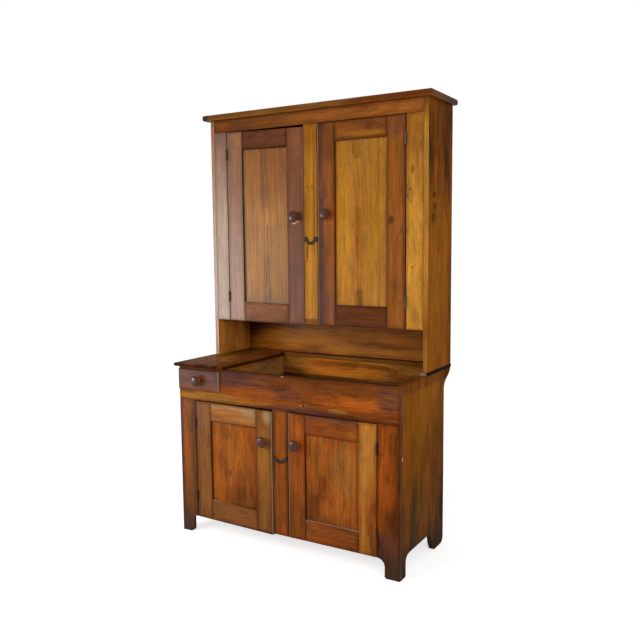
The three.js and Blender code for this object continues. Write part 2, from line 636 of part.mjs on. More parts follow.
function drawer() {
  const openingTop = WELL_FLOOR_TOP + DRAWER_OPENING_HEIGHT;
  const left = DRAWER_OPENING_LEFT + DRAWER_PLAY;
  const right = DRAWER_OPENING_RIGHT - DRAWER_PLAY;
  const bottom = WELL_FLOOR_TOP + DRAWER_RUN_GAP;
  const top = openingTop - DRAWER_PLAY;
  const boardTop = top - DRAWER_BOARD_DROP;
  const end = LEDGE_FRONT - DRAWER_BACK_GAP;
  const lipLeft = DRAWER_OPENING_LEFT - DRAWER_LIP_LEFT;
  const lipRight = DRAWER_OPENING_RIGHT + DRAWER_LIP_RIGHT;
  const lipBottom = WELL_FLOOR_TOP - DRAWER_LIP_BOTTOM;
  const lipTop = openingTop + DRAWER_LIP_TOP;
  const lip = roundedBoard(
    lipLeft, lipBottom, 0, lipRight, lipTop, DRAWER_LIP_THICKNESS, DRAWER_LIP_ROUNDING);
  lip.rotateX(Math.PI / 2);
  const core = board('core', 'drawer',
    [left, -DRAWER_LIP_THICKNESS / 2, bottom], [right, DRAWER_FRONT_DEPTH, top]);
  const innerLeft = left + DRAWER_BOARD_THICKNESS;
  const innerRight = right - DRAWER_BOARD_THICKNESS;
  const innerEnd = end - DRAWER_BOARD_THICKNESS;
  return [
    piece('drawer_front', joined(lip, core.geometry), 'drawer'),
    board('drawer_left_board', 'inside', [left, DRAWER_FRONT_DEPTH, bottom], [innerLeft, end, boardTop]),
    board('drawer_right_board', 'inside', [innerRight, DRAWER_FRONT_DEPTH, bottom], [right, end, boardTop]),
    board('drawer_back_board', 'inside', [innerLeft, innerEnd, bottom], [innerRight, end, boardTop]),
    board('drawer_bottom', 'inside',
      [innerLeft, DRAWER_FRONT_DEPTH, bottom], [innerRight, innerEnd, bottom + DRAWER_FLOOR_THICKNESS]),
    knob('drawer_knob', (lipLeft + lipRight) / 2, -DRAWER_LIP_THICKNESS, (lipBottom + lipTop) / 2),
  ];
}

const upperRow = {
  name: 'upper',
  face: UPPER_SET_BACK,
  bottom: UPPER_OPENING_BOTTOM,
  top: TOP_RAIL_BOTTOM - UPPER_DOOR_TOP_GAP,
  stile: UPPER_DOOR_STILE,
  topRail: UPPER_DOOR_TOP_RAIL,
  bottomRail: UPPER_DOOR_BOTTOM_RAIL,
  mullionWidth: UPPER_MULLION_WIDTH,
  sags: { left: UPPER_LEFT_SAG, right: UPPER_RIGHT_SAG },
  tones: { left: 'door', right: 'darkStile', panel: 'panel' },
  knobHeight: UPPER_KNOB_HEIGHT,
  highHingeInsets: { left: UPPER_LEFT_HIGH_HINGE_INSET, right: UPPER_RIGHT_HIGH_HINGE_INSET },
  lowHingeInset: UPPER_LOW_HINGE_INSET,
  buttonHeight: UPPER_BUTTON_HEIGHT,
  button: {
    arm: UPPER_BUTTON_ARM,
    halfWidth: UPPER_BUTTON_HALF_WIDTH,
    headHalfLength: UPPER_BUTTON_HEAD_HALF_LENGTH,
    headHalfWidth: UPPER_BUTTON_HEAD_HALF_WIDTH,
    tilt: UPPER_BUTTON_TILT,
  },
};

const lowerRow = {
  name: 'lower',
  face: 0,
  bottom: LOWER_OPENING_BOTTOM,
  top: FRONT_BOARD_BOTTOM - LOWER_DOOR_TOP_GAP,
  stile: LOWER_DOOR_STILE,
  topRail: LOWER_DOOR_TOP_RAIL,
  bottomRail: LOWER_DOOR_BOTTOM_RAIL,
  mullionWidth: LOWER_MULLION_WIDTH,
  sags: { left: LOWER_LEFT_SAG, right: LOWER_RIGHT_SAG },
  tones: { left: 'door', right: 'front', panel: 'lowPanel' },
  knobHeight: LOWER_KNOB_HEIGHT,
  highHingeInsets: { left: LOWER_HINGE_INSET, right: LOWER_HINGE_INSET },
  lowHingeInset: LOWER_HINGE_INSET,
  buttonHeight: LOWER_BUTTON_HEIGHT,
  button: {
    arm: LOWER_BUTTON_ARM,
    halfWidth: LOWER_BUTTON_HALF_WIDTH,
    headHalfLength: LOWER_BUTTON_HEAD_HALF_LENGTH,
    headHalfWidth: LOWER_BUTTON_HEAD_HALF_WIDTH,
    tilt: LOWER_BUTTON_TILT,
  },
};

const cupboard = new THREE.Group();
cupboard.name = 'dry_sink_cupboard';
cupboard.add(
  ...baseCase(),
  ...well(),
  ...tops(),
  ...upperCase(),
  ...doorRow(upperRow),
  ...doorRow(lowerRow),
  ...drawer(),
);

// The middle of the footprint becomes the origin.
const bounds = new THREE.Box3().setFromObject(cupboard);
const middle = bounds.getCenter(new THREE.Vector3());
for (const mesh of cupboard.children) {
  mesh.geometry.translate(-middle.x, -middle.y, -bounds.min.z);
}

export default cupboard;
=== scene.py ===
import json
import math
from functools import reduce
from itertools import product
from operator import add
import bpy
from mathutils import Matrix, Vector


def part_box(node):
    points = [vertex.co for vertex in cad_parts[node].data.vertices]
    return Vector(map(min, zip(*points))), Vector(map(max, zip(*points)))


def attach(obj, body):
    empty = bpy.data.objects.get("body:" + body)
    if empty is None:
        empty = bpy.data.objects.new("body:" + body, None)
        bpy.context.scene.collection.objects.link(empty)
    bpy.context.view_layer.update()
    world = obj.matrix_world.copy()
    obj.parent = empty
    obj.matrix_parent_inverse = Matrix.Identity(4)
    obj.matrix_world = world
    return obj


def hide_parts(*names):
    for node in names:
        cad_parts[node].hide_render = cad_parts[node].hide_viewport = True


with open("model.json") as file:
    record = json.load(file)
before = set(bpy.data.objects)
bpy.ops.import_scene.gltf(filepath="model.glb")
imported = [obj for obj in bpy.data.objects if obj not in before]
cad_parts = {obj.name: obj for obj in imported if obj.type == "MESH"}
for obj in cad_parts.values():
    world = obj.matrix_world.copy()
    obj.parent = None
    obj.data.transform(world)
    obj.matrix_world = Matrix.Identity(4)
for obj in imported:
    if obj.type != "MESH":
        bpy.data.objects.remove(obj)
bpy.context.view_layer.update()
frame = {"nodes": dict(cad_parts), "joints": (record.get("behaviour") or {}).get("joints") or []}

from types import SimpleNamespace

import bmesh
import bpy
from bpy.props import FloatProperty, FloatVectorProperty, PointerProperty
from mathutils import Matrix, Vector

bl_info = {
    "name": "Dry Sink Cupboard",
    "version": (1, 0, 0),
    "blender": (4, 5, 0),
    "location": "View3D > Sidebar > Cupboard",
    "description": "Finishes an old pine dry sink cupboard: its doors, ironwork, knobs, backs and aged wood",
    "category": "Object",
}

DOORS = tuple(product(("upper", "lower"), ("left", "right")))
AXES = (Vector((1, 0, 0)), Vector((0, 1, 0)), Vector((0, 0, 1)))
# Points nearer than this count as touching
TOUCH = 1e-6
# The least part of a face's normal along a direction for a face that looks that way, or partly that way
FACING = 0.9
SLANTING = 0.3


def linear(code):
    """The linear colour of a colour written as six hexadecimal digits."""
    channels = [int(code[i:i + 2], 16) / 255 for i in (0, 2, 4)]
    return tuple(c / 12.92 if c <= 0.04045 else ((c + 0.055) / 1.055) ** 2.4 for c in channels)


# Sizes and colours that a user may change

def length(name, description, default):
    return FloatProperty(
        name=name, description=description, default=default, min=0, unit="LENGTH", precision=4
    )


def sag(name, default):
    return length(name, "How much lower the free edge of the door hangs", default)


def colour(name, description, code):
    return FloatVectorProperty(
        name=name, description=description, default=linear(code), size=3, min=0, max=1, subtype="COLOR"
    )


class CupboardSizes(bpy.types.PropertyGroup):
    """Sizes of the details, in metres."""

    arris: length("Arris", "Width of the rubbed edge of a board", 0.0014)
    joint: length("Joint", "Width of the eased edge beside a joint", 0.0007)
    joint_gap: length("Joint gap", "Hairline between a stile and its rail", 0.0002)
    tongue: length("Panel tongue", "How far a panel reaches into its frame", 0.009)
    groove_play: length("Groove play", "Room round the tongue in its groove", 0.0004)
    upper_left_sag: sag("Upper left sag", 0.009)
    upper_right_sag: sag("Upper right sag", 0.0)
    lower_left_sag: sag("Lower left sag", 0.008)
    lower_right_sag: sag("Lower right sag", 0.0)
    leaf: length("Hinge leaf", "Thickness of a hinge leaf", 0.0012)
    screw: length("Hinge screw", "Radius of the head of a hinge screw", 0.0032)
    slot: length("Screw slot", "Half the width of a screw's slot", 0.0005)
    nail: length("Nail", "Half the width of a cut nail's head", 0.003)
    nail_rise: length("Nail rise", "How far a nail's head stands out", 0.0003)
    board_gap: length("Board gap", "Gap between the boards of a back", 0.0002)


class CupboardColours(bpy.types.PropertyGroup):
    """Colours of the aged wood and the iron."""

    gold: colour("Gold", "Clear golden pine", "b0761e")
    pale_gold: colour("Pale gold", "Golden pine of the right upper stile", "ba8432")
    honey: colour("Honey", "Golden tan pine of the upper panels", "a46f2e")
    amber: colour("Amber", "Orange brown pine", "905418")
    orange: colour("Orange", "Bright orange pine", "a4521a")
    russet: colour("Russet", "Red orange pine of the lower cupboard", "8a4618")
    tan: colour("Tan", "Rubbed tan brown pine", "8c5a2c")
    red_brown: colour("Red brown", "Stained red brown pine", "864d20")
    dark_red: colour("Dark red", "Deep red brown pine", "643614")
    plum: colour("Plum", "Purplish brown of old varnish", "5a3833")
    side: colour("Side", "Golden brown of the side boards", "804b12")
    olive: colour("Olive", "Greenish brown of the shaded boards", "5e4218")
    shelf: colour("Shelf", "Brown of the open shelf", "7e4e20")
    # Soot and shade: near black of the feet and of dark marks, also painted as shadow lines and shade in the
    # well and on the back ledge
    soot: colour("Soot", "Near black of the feet", "3a2e27")
    top: colour("Top", "Dark brown of the worktop", "4a2a12")
    # Dust and shade: grey brown bloom on worn wax, also painted as shade along the recessed edges of the
    # upper left panel
    dust: colour("Dust", "Grey brown bloom on worn wax", "7a6254")
    bare: colour("Bare", "Unfinished pine inside the cupboard", "8d6a42")
    grey: colour("Grey", "Weathered unfinished pine at the back", "74624c")
    # Worn: pale rubbed wood, also painted as sheen on the upper left boards and as highlights along rubbed
    # arrises
    worn: colour("Worn", "Pale wood of rubbed edges", "a08468")
    cream: colour("Cream", "Fresh wood in a chip", "e2cba4")
    knob: colour("Knob", "Dark polished wood of the knobs", "3c2523")
    iron: colour("Iron", "Blackened iron", "1d1817")
    rust: colour("Rust", "Rust on the iron", "3a241c")
    # Rubbed iron and highlight: iron of the upper hinges, painted lighter as a highlight on their barrels
    rubbed_iron: colour("Rubbed iron", "Iron of the hinges, rubbed bright", "6b5a52")
    floor: colour("Floor", "Pale studio floor", "e4e4e4")


def sizes():
    return bpy.context.scene.cupboard_sizes


def shaded(name, amount=1.0):
    """A named colour of the cupboard made lighter or darker, as red, green, blue and alpha."""
    red, green, blue = getattr(bpy.context.scene.cupboard_colours, name)
    return (red * amount, green * amount, blue * amount, 1.0)


# Shader arithmetic: each step adds a node to the tree that its values come from

class Signal:
    """A value, vector or colour that a node tree works out."""

    def __init__(self, socket):
        self.socket = socket
        self.tree = socket.id_data

    def __add__(self, other):
        return calculate("ADD", self, other)

    def __sub__(self, other):
        return calculate("SUBTRACT", self, other)

    def __rsub__(self, other):
        return calculate("SUBTRACT", other, self)

    def __mul__(self, other):
        return calculate("MULTIPLY", self, other)

    def __truediv__(self, other):
        return calculate("DIVIDE", self, other)

    def __pow__(self, other):
        return calculate("POWER", self, other)

    def __abs__(self):
        return calculate("ABSOLUTE", self)

    def clamped(self):
        """The same value, kept between zero and one."""
        self.socket.node.use_clamp = True
        return self


def feed(node, values):
    """Sets or links the inputs of a node."""
    for key, value in values.items():
        if isinstance(value, Signal):
            value.tree.links.new(value.socket, node.inputs[key])
        else:
            node.inputs[key].default_value = value
    return node


def fed_node(kind, values, **settings):
    """A new node of a kind with its settings and inputs, in the tree of its first signal."""
    tree = next(value.tree for value in values.values() if isinstance(value, Signal))
    node = tree.nodes.new("ShaderNode" + kind)
    for name, setting in settings.items():
        setattr(node, name, setting)
    return feed(node, values)


def first_output(tree, kind, values):
    """The first output of a new node of a kind in a tree."""
    return Signal(feed(tree.nodes.new("ShaderNode" + kind), values).outputs[0])


def derived(kind, values, **settings):
    """The first output of a new node, in the tree of its first signal."""
    return Signal(fed_node(kind, values, **settings).outputs[0])


def calculate(operation, *values):
    return derived("Math", dict(enumerate(values)), operation=operation)


def vectors(operation, *values):
    return derived("VectorMath", dict(enumerate(values)), operation=operation)


def blend_colour(factor, first, second, mode="MIX"):
    values = {0: factor, 6: first, 7: second}
    return Signal(fed_node("Mix", values, data_type="RGBA", blend_type=mode).outputs[2])


def tinted(base, tint):
    """A colour multiplied by another, given as red, green and blue."""
    return blend_colour(1.0, base, (*tint, 1.0), "MULTIPLY")


def noise_outputs(vector, stretch, detail, rough=0.5, distortion=0.0):
    """Noise on a vector stretched first, as a value around a half and as a colour."""
    stretched = vectors("MULTIPLY", vector, stretch)
    return fed_node("TexNoise", {
        "Vector": stretched, "Scale": 1.0, "Detail": detail, "Roughness": rough, "Distortion": distortion,
    }).outputs


def noise(vector, pattern):
    """A noise around a half, of a named pattern."""
    return Signal(noise_outputs(vector, *PATTERNS[pattern])[0])


def wander(vector, pattern):
    """Three noises around zero, one for each direction."""
    colour_noise = Signal(noise_outputs(vector, *PATTERNS[pattern])[1])
    return split(vectors("SUBTRACT", colour_noise, (0.5, 0.5, 0.5)))


def step(value, low, high, to_low=0.0, to_high=1.0):
    """A smooth step from one value to another as the input passes from low to high."""
    values = {0: value, 1: low, 2: high, 3: to_low, 4: to_high}
    return derived("MapRange", values, interpolation_type="SMOOTHSTEP")


def fade(value, effect):
    """How far a named effect has set in."""
    return step(value, *FADES[effect])


def ramp(value, stops):
    made = fed_node("ValToRGB", {0: value})
    points = made.color_ramp.elements
    while len(points) < len(stops):
        points.new(0.5)
    for point, (place, level) in zip(points, stops):
        point.position = place
        point.color = (level, level, level, 1.0)
    return Signal(made.outputs[0])


def split(vector):
    return tuple(Signal(socket) for socket in fed_node("SeparateXYZ", {0: vector}).outputs)


def combine(*values):
    return derived("CombineXYZ", dict(enumerate(values)))


def distance(first, second):
    """The length of a flat step with two known sides."""
    return calculate("SQRT", first ** 2.0 + second ** 2.0)


def total(signals):
    """The sum of several signals."""
    return reduce(add, signals)


def centred(value, amount):
    """A noise around a half as one around zero."""
    return (value - 0.5) * amount


def object_place(tree):
    return Signal(tree.nodes.new("ShaderNodeTexCoord").outputs["Object"])


def bumped(height, reach, strength):
    return derived("Bump", {"Height": height, "Distance": reach, "Strength": strength})


def named(sockets):
    """The sockets of a node as signals, by name."""
    return SimpleNamespace(**{socket.name: Signal(socket) for socket in sockets if socket.name})


def new_group(name, inputs, outputs):
    """An empty node group and its inputs. Sockets are given as names for each type."""
    tree = bpy.data.node_groups.new(name, "ShaderNodeTree")
    for way, kinds in (("INPUT", inputs), ("OUTPUT", outputs)):
        for kind, names in kinds.items():
            for socket in names:
                tree.interface.new_socket(socket, in_out=way, socket_type="NodeSocket" + kind)
    return tree, named(tree.nodes.new("NodeGroupInput").outputs)


def add_group(tree, group, values):
    """The outputs of a node group used in a tree."""
    node = tree.nodes.new("ShaderNodeGroup")
    node.node_tree = group
    return named(feed(node, values).outputs)


def new_material(name):
    """A new material, its node tree and its main shader."""
    material = bpy.data.materials.new(name)
    material.use_nodes = True
    return material, material.node_tree, material.node_tree.nodes["Principled BSDF"]


# Aged pine: growth rings round a leaning pith, fibres, stain, patches, knots, grime with painted shade, and
# wear with painted highlights on rubbed edges

# What a look says as plain numbers, with each name also an input of the wood
LOOK_VALUES = (
    "ring", "ring_share", "depth", "offset", "lean", "contrast", "crease", "narrow", "mottle", "stained",
    "grime", "foot", "rough",
)
PINE_INPUTS = {
    "Vector": ("place", "half", "knot_a", "knot_b", "crown_a", "crown_b", "rub"),
    "Color": ("tone", "stain", "worn", "soot"),
    "Float": (*LOOK_VALUES, "wear", "seed"),
}
PINE_OUTPUTS = {"Color": ("colour",), "Float": ("rough", "relief")}
PATCH_INPUTS = {"Vector": ("place", "middle", "reach"), "Float": ("softness", "ragged", "seed")}
# How dark the wood is from the start of a growth ring to its end
LATE_WOOD = ((0.0, 0.0), (0.35, 0.1), (0.72, 0.8), (0.88, 1.0), (1.0, 0.0))
# How fast each noise varies across, through and along the grain, or on iron and knobs along the three axes,
# with its detail, its roughness and its distortion
PATTERNS = {
    "sway": ((4.0, 4.0, 1.1), 3.0), "ripple": ((30.0, 30.0, 7.0), 2.0), "waves": ((16.0, 16.0, 5.0), 2.0),
    "streaks": ((52.0, 52.0, 3.4), 4.0, 0.6), "fibre": ((190.0, 190.0, 10.0), 3.0, 0.65),
    "speckle": ((240.0, 240.0, 80.0), 2.0, 0.6), "fine": ((900.0, 900.0, 40.0), 2.0, 0.6),
    "fleck": ((420.0, 420.0, 34.0), 1.0), "ragged": ((14.0, 14.0, 3.0), 4.0, 0.6),
    "stain": ((11.0, 11.0, 1.9), 5.0, 0.6, 0.4), "blots": ((24.0, 24.0, 8.0), 4.0, 0.62, 0.3),
    "cloud": ((4.6, 4.6, 1.7), 3.0), "worn": ((55.0, 55.0, 13.0), 3.0),
    "patch": ((11.0, 11.0, 3.4), 4.0, 0.6), "patch_streaks": ((75.0, 75.0, 6.0), 3.0, 0.6),
    "rust": ((260.0, 260.0, 260.0), 4.0, 0.6), "cast": ((900.0, 900.0, 900.0), 3.0, 0.6),
    "turned": ((120.0, 20.0, 420.0), 3.0, 0.6), "polish": ((60.0, 60.0, 60.0), 2.0),
}
# Where each effect sets in and where it is full, in metres, as a share of a size or as a value of its noise,
# and what it goes from and to where that isn't nought and one
FADES = {
    "knot": (1.15, 0.45), "knot_push": (5.0, 0.6), "arrow_line": (0.3, 0.8), "arrow_side": (0.028, 0.012),
    "arrow_end": (1.0, 0.6), "broad_face": (0.0015, 0.0005), "rub": (0.0055, 0.0015), "stain": (0.4, 0.6),
    "warm_blot": (0.5, 0.68), "dark_blot": (0.5, 0.34), "cloud": (0.32, 0.68, 0.82, 1.16),
    "crease": (0.003, 0.0005), "grime": (0.022, -0.002), "worn": (0.38, 0.58), "fleck": (0.6, 0.7),
    "foot": (0.17, 0.01), "rust": (0.42, 0.62), "iron_rough": (0.3, 0.7, 0.34, 0.62),
    "knob_streak": (0.35, 0.65), "knob_bloom": (0.45, 0.75, 0.0, 0.6), "knob_rough": (0.3, 0.7, 0.26, 0.42),
}
# How far noise moves the rings across a board and into it, and frays their lines
SWAY_ACROSS = 0.06
SWAY_IN = 0.09
RIPPLE_ACROSS = 0.008
RIPPLE_IN = 0.012
RING_FRAY = 0.5
# How fast the broad bands change from ring to ring, and their detail
BAND_SCALE = 0.45
BAND_DETAIL = 2.0
# How far noise frays the outline of a patch, of an arrowhead, of a rubbed edge with its painted highlight, of
# grime with its painted shade and of a dark foot
PATCH_FRAY = 1.1
PATCH_STREAK_FRAY = 0.8
ARROW_FRAY = 0.005
RUB_AND_HIGHLIGHT_FRAY = 0.008
GRIME_AND_SHADE_FRAY = 0.03
FOOT_FRAY = 0.16
# How dark the plain grain, an arrowhead, a knot and the thickest grime with its painted shade are
GRAIN_DARKNESS = 0.38
ARROW_DARKNESS = 0.95
KNOT_DARKNESS = 0.7
GRIME_AND_SHADE_DARKNESS = 0.92
# How much each noise counts in the grain and in the relief of the wood
GRAIN_SHARES = {"bands": 0.9, "fibre": 1.5, "streaks": 1.1, "speckle": 0.9, "fine": 0.3}
FLECK_SHARE = 0.3
RELIEF_SHARES = {"late": -0.12, "fleck": -0.3, "fibre": 0.35, "fine": 0.2, "waves": 1.2}
# How much the fibres, ragged noise, grime and wear roughen the wood
FIBRE_ROUGHNESS = 0.14
RAGGED_ROUGHNESS = 0.12
GRIME_ROUGHNESS = 0.12
WEAR_ROUGHNESS = 0.15
# How deep the relief of each material is, in metres, and how strongly it shows
WOOD_RELIEF = (0.0005, 0.5)
IRON_RELIEF = (0.0004, 0.5)
KNOB_RELIEF = (0.0003, 0.4)
ARROW_SPACING = 0.021
ARROW_STEEPNESS = -14.0
ARROW_SPREAD = 1.3
KNOT_COLOUR = (0.04, 0.014, 0.006, 1.0)
KNOT_FLATTENING = 0.7
# How far a knot pushes the rings aside, in its radii
KNOT_PUSH = 1.6
NO_KNOT = (0.0, 0.0, 0.0)
NO_CROWN = (9.0, 0.0, 0.0)
# How far a seed moves the noise of a board, across and along
SEED_DRIFT_ACROSS = 3.1
SEED_DRIFT_ALONG = 1.7
# How many seeds there are for names, how far apart they are, and how far apart the seeds of patches are
SEED_COUNT = 97
SEED_STEP = 0.37
PATCH_SEED_STEP = 1.3
# The least size that a spot counts with, so that nothing is divided by zero
LEAST_SIZE = 0.0001
# What the wood's colour is multiplied by between the rings, in them, in blots and under grime and painted
# shade
EARLY_WOOD_TINT = (1.4, 1.4, 1.35)
LATE_WOOD_TINT = (0.46, 0.39, 0.32)
WARM_BLOT_TINT = (1.26, 1.12, 0.75)
DARK_BLOT_TINT = (0.6, 0.56, 0.56)
GRIME_AND_SHADE_TINT = (0.3, 0.22, 0.16)


def drifted(place, seed):
    """A place moved by the board's own seed, so that no two boards share their noise."""
    return vectors("ADD", place, combine(seed * SEED_DRIFT_ACROSS, seed, seed * SEED_DRIFT_ALONG))


def patch_group():
    """How far a ragged patch covers a place on a board, from the patch's middle and its reach each way."""
    found = bpy.data.node_groups.get("stain_patch")
    if found:
        return found
    tree, given = new_group("stain_patch", PATCH_INPUTS, {"Float": ("cover",)})
    shifted = drifted(given.place, given.seed)
    broad = noise(shifted, "patch")
    streaks = noise(shifted, "patch_streaks")
    away = vectors("DIVIDE", vectors("SUBTRACT", given.place, given.middle), given.reach)
    across, through, along = split(away)
    ragged = centred(broad, PATCH_FRAY) + centred(streaks, PATCH_STREAK_FRAY)
    uneven = distance(distance(across, along), through) + ragged * given.ragged
    softness = given.softness
    feed(tree.nodes.new("NodeGroupOutput"), {"cover": step(uneven, softness + 1.0, 1.0 - softness)})
    return tree


def knot(place, spot):
    """How dark a knot is, and how far it pushes the rings aside. Its spot is across, along and its radius."""
    across, _, along = split(place)
    spot_across, spot_along, radius = split(spot)
    size = calculate("MAXIMUM", radius, LEAST_SIZE)
    share = distance(across - spot_across, (along - spot_along) * KNOT_FLATTENING) / size
    return fade(share, "knot"), fade(share, "knot_push") * (size * KNOT_PUSH)


def crown(place, spot, fibre):
    """Nested arrowheads of late wood in a flat sawn board, from across, along and half their length."""
    across, _, along = split(place)
    spot_across, spot_along, reach = split(spot)
    beside = abs(across - spot_across)
    above = along - spot_along
    climb = above + (beside ** ARROW_SPREAD) * ARROW_STEEPNESS + centred(fibre, ARROW_FRAY)
    line = fade(calculate("FRACT", climb / ARROW_SPACING), "arrow_line")
    end = abs(above) / calculate("MAXIMUM", reach, LEAST_SIZE)
    return line * (fade(beside, "arrow_side") * fade(end, "arrow_end"))


def rings(given, shifted, push, fine):
    """The late wood line of each growth ring, and broad bands of several rings."""
    across, through, along = split(given.place)
    sway, rise, _ = wander(shifted, "sway")
    ripple_across, ripple_in, _ = wander(shifted, "ripple")
    beside = across - given.offset + sway * SWAY_ACROSS + ripple_across * RIPPLE_ACROSS
    lean = along * given.lean
    depth = given.depth + through + lean + rise * SWAY_IN + ripple_in * RIPPLE_IN
    count = (distance(beside, depth) + push) / given.ring
    late = ramp(calculate("FRACT", count + fine * RING_FRAY), LATE_WOOD)
    bands = {"W": count + given.seed, "Scale": BAND_SCALE, "Detail": BAND_DETAIL}
    return late, derived("TexNoise", bands, noise_dimensions="1D")


def edge_distance(place, half):
    """The distance on a board's face to its nearest edge."""
    across, _, along = split(place)
    half_across, _, half_along = split(half)
    return calculate("MINIMUM", half_across - abs(across), half_along - abs(along))


def on_broad_face(place, half):
    """One on the two broad faces of a board, zero on its narrow edges and ends."""
    return fade(split(half)[1] - abs(split(place)[1]), "broad_face")


def rubbed_edge_and_highlight(place, half, rub, patchy):
    """How far one edge of a board is rubbed pale, worn wood with a painted highlight along the arris, from
    the way to it across, the amount and the way along.
    """
    across, _, along = split(place)
    half_across, _, half_along = split(half)
    way_across, amount, way_along = split(rub)
    reach = half_across * abs(way_across) + half_along * abs(way_along)
    away = reach - (across * way_across + along * way_along) + centred(patchy, RUB_AND_HIGHLIGHT_FRAY)
    return (fade(away, "rub") * amount).clamped()


def figured(given, shifted, grain, arrows):
    """The ground colour of a board, lightened and darkened by its grain."""
    uneven = noise(shifted, "stain")
    ground = blend_colour(fade(uneven, "stain") * given.stained, given.tone, given.stain)
    factor = (grain * given.contrast + arrows * ARROW_DARKNESS + GRAIN_DARKNESS).clamped()
    return blend_colour(factor, tinted(ground, EARLY_WOOD_TINT), tinted(ground, LATE_WOOD_TINT))


def mottled(wood, shifted, amount):
    """Wood with warm and dark blots and slow clouds of light."""
    blots = noise(shifted, "blots")
    wood = blend_colour(fade(blots, "warm_blot") * amount, wood, tinted(wood, WARM_BLOT_TINT))
    wood = blend_colour(fade(blots, "dark_blot") * amount, wood, tinted(wood, DARK_BLOT_TINT))
    cloud = fade(noise(shifted, "cloud"), "cloud")
    return blend_colour(1.0, wood, combine(cloud, cloud, cloud), "MULTIPLY")


def grime_and_shade_amount(given, ragged):
    """How much darker a board is along its edges and in its creases, from dirt and from painted shade."""
    edge = edge_distance(given.place, given.half)
    crease = fade(edge, "crease") * given.crease
    grime = fade(edge + centred(ragged, GRIME_AND_SHADE_FRAY), "grime") * given.grime + crease
    reached = calculate("MAXIMUM", on_broad_face(given.place, given.half), given.narrow)
    return calculate("MINIMUM", grime, GRIME_AND_SHADE_DARKNESS) * reached


def wear_amount(given, shifted, ragged):
    """How far the finish of a board is worn off, in spots and along its rubbed edge, whose pale line is also
    a painted highlight.
    """
    spots = fade(noise(shifted, "worn"), "worn") * given.wear
    return calculate("MAXIMUM", spots, rubbed_edge_and_highlight(given.place, given.half, given.rub, ragged))


def pine_group():
    """The shared node group of every wooden piece."""
    found = bpy.data.node_groups.get("aged_pine")
    if found:
        return found
    tree, given = new_group("aged_pine", PINE_INPUTS, PINE_OUTPUTS)
    place = given.place
    shifted = drifted(place, given.seed)
    patterns = ("streaks", "fibre", "speckle", "fine", "ragged", "waves")
    parts = {name: noise(shifted, name) for name in patterns}
    fibre, ragged = parts["fibre"], parts["ragged"]
    parts["fleck"] = fade(noise(shifted, "fleck"), "fleck")
    dark_a, push_a = knot(place, given.knot_a)
    dark_b, push_b = knot(place, given.knot_b)
    parts["late"], parts["bands"] = rings(given, shifted, push_a + push_b, parts["fine"])
    grain = centred(parts["late"], given.ring_share)
    for name, share in GRAIN_SHARES.items():
        grain = grain + centred(parts[name], share)
    grain = grain + parts["fleck"] * FLECK_SHARE
    arrows = calculate("MAXIMUM", crown(place, given.crown_a, fibre), crown(place, given.crown_b, fibre))
    wood = mottled(figured(given, shifted, grain, arrows), shifted, given.mottle)
    wood = blend_colour(calculate("MAXIMUM", dark_a, dark_b) * KNOT_DARKNESS, wood, KNOT_COLOUR)
    # Grime and painted shade darken the board along its edges and in its creases
    grime = grime_and_shade_amount(given, ragged)
    wood = blend_colour(grime, wood, tinted(wood, GRIME_AND_SHADE_TINT))
    # Wear, with a painted highlight along the rubbed edge
    wear = wear_amount(given, shifted, ragged)
    wood = blend_colour(wear, wood, given.worn)
    low = split(object_place(tree))[2] + centred(ragged, FOOT_FRAY)
    wood = blend_colour(fade(low, "foot") * given.foot, wood, given.soot)
    rough = (
        given.rough + centred(fibre, FIBRE_ROUGHNESS) + grime * GRIME_ROUGHNESS + wear * WEAR_ROUGHNESS
        + centred(ragged, RAGGED_ROUGHNESS)
    )
    relief = total(parts[name] * share for name, share in RELIEF_SHARES.items())
    feed(tree.nodes.new("NodeGroupOutput"), {"colour": wood, "rough": rough, "relief": relief})
    return tree


def grain_place(tree, low, high):
    """Coordinates across, through and along a board's grain from its middle, and half its size that way."""
    size = high - low
    through, across, along = sorted(range(3), key=lambda axis: size[axis])
    turn = Matrix((AXES[across], AXES[through], AXES[along]))
    if turn.determinant() < 0:
        turn = Matrix((AXES[across], -AXES[through], AXES[along]))
    location = -(turn @ ((low + high) / 2))
    values = {"Vector": object_place(tree), "Location": location, "Rotation": turn.to_euler("XYZ")}
    half = size / 2
    return derived("Mapping", values), (half[across], half[through], half[along])


USUAL_LOOK = {
    "ring": 0.008, "ring_share": 0.4, "depth": 0.03, "offset": 0.02, "lean": 0.05, "contrast": 0.5,
    "mottle": 0.5, "grime": 0.5, "wear": 0.0, "edge_wear": 0.25, "crease": 0.55, "narrow": 1.0, "foot": 0.0,
    "rough": 0.38, "shine": 0.04, "knots": (), "crowns": (), "rub": (0.0, 0.0, 0.0),
}


def look(base, shade, stain, stained, *patches, **more):
    """How a board is finished. What isn't given follows an ordinary waxed board."""
    given = {"base": base, "shade": shade, "stain": stain, "stained": stained, "patches": patches}
    return {**USUAL_LOOK, **given, **more}


def patch(name, across, along, reach_across, reach_along, shade=1.0, cover=1.0, softness=0.45, ragged=1.0):
    """A ragged patch of another colour on a board: its middle and its reach across and along the grain."""
    return {
        "name": name, "middle": (across, 0.0, along), "reach": (reach_across, 1.0, reach_along),
        "shade": shade, "cover": cover, "softness": softness, "ragged": ragged,
    }


def mark(name, across, along, reach_across, reach_along, shade=1.0, cover=1.0):
    """A small patch with a sharp, even edge."""
    return patch(name, across, along, reach_across, reach_along, shade, cover, 0.25, 0.15)


def at_depth(spot, depth, reach):
    """The same patch kept to a layer of the board, from its middle through the thickness and its reach."""
    across, _, along = spot["middle"]
    reach_across, _, reach_along = spot["reach"]
    return {**spot, "middle": (across, depth, along), "reach": (reach_across, reach, reach_along)}


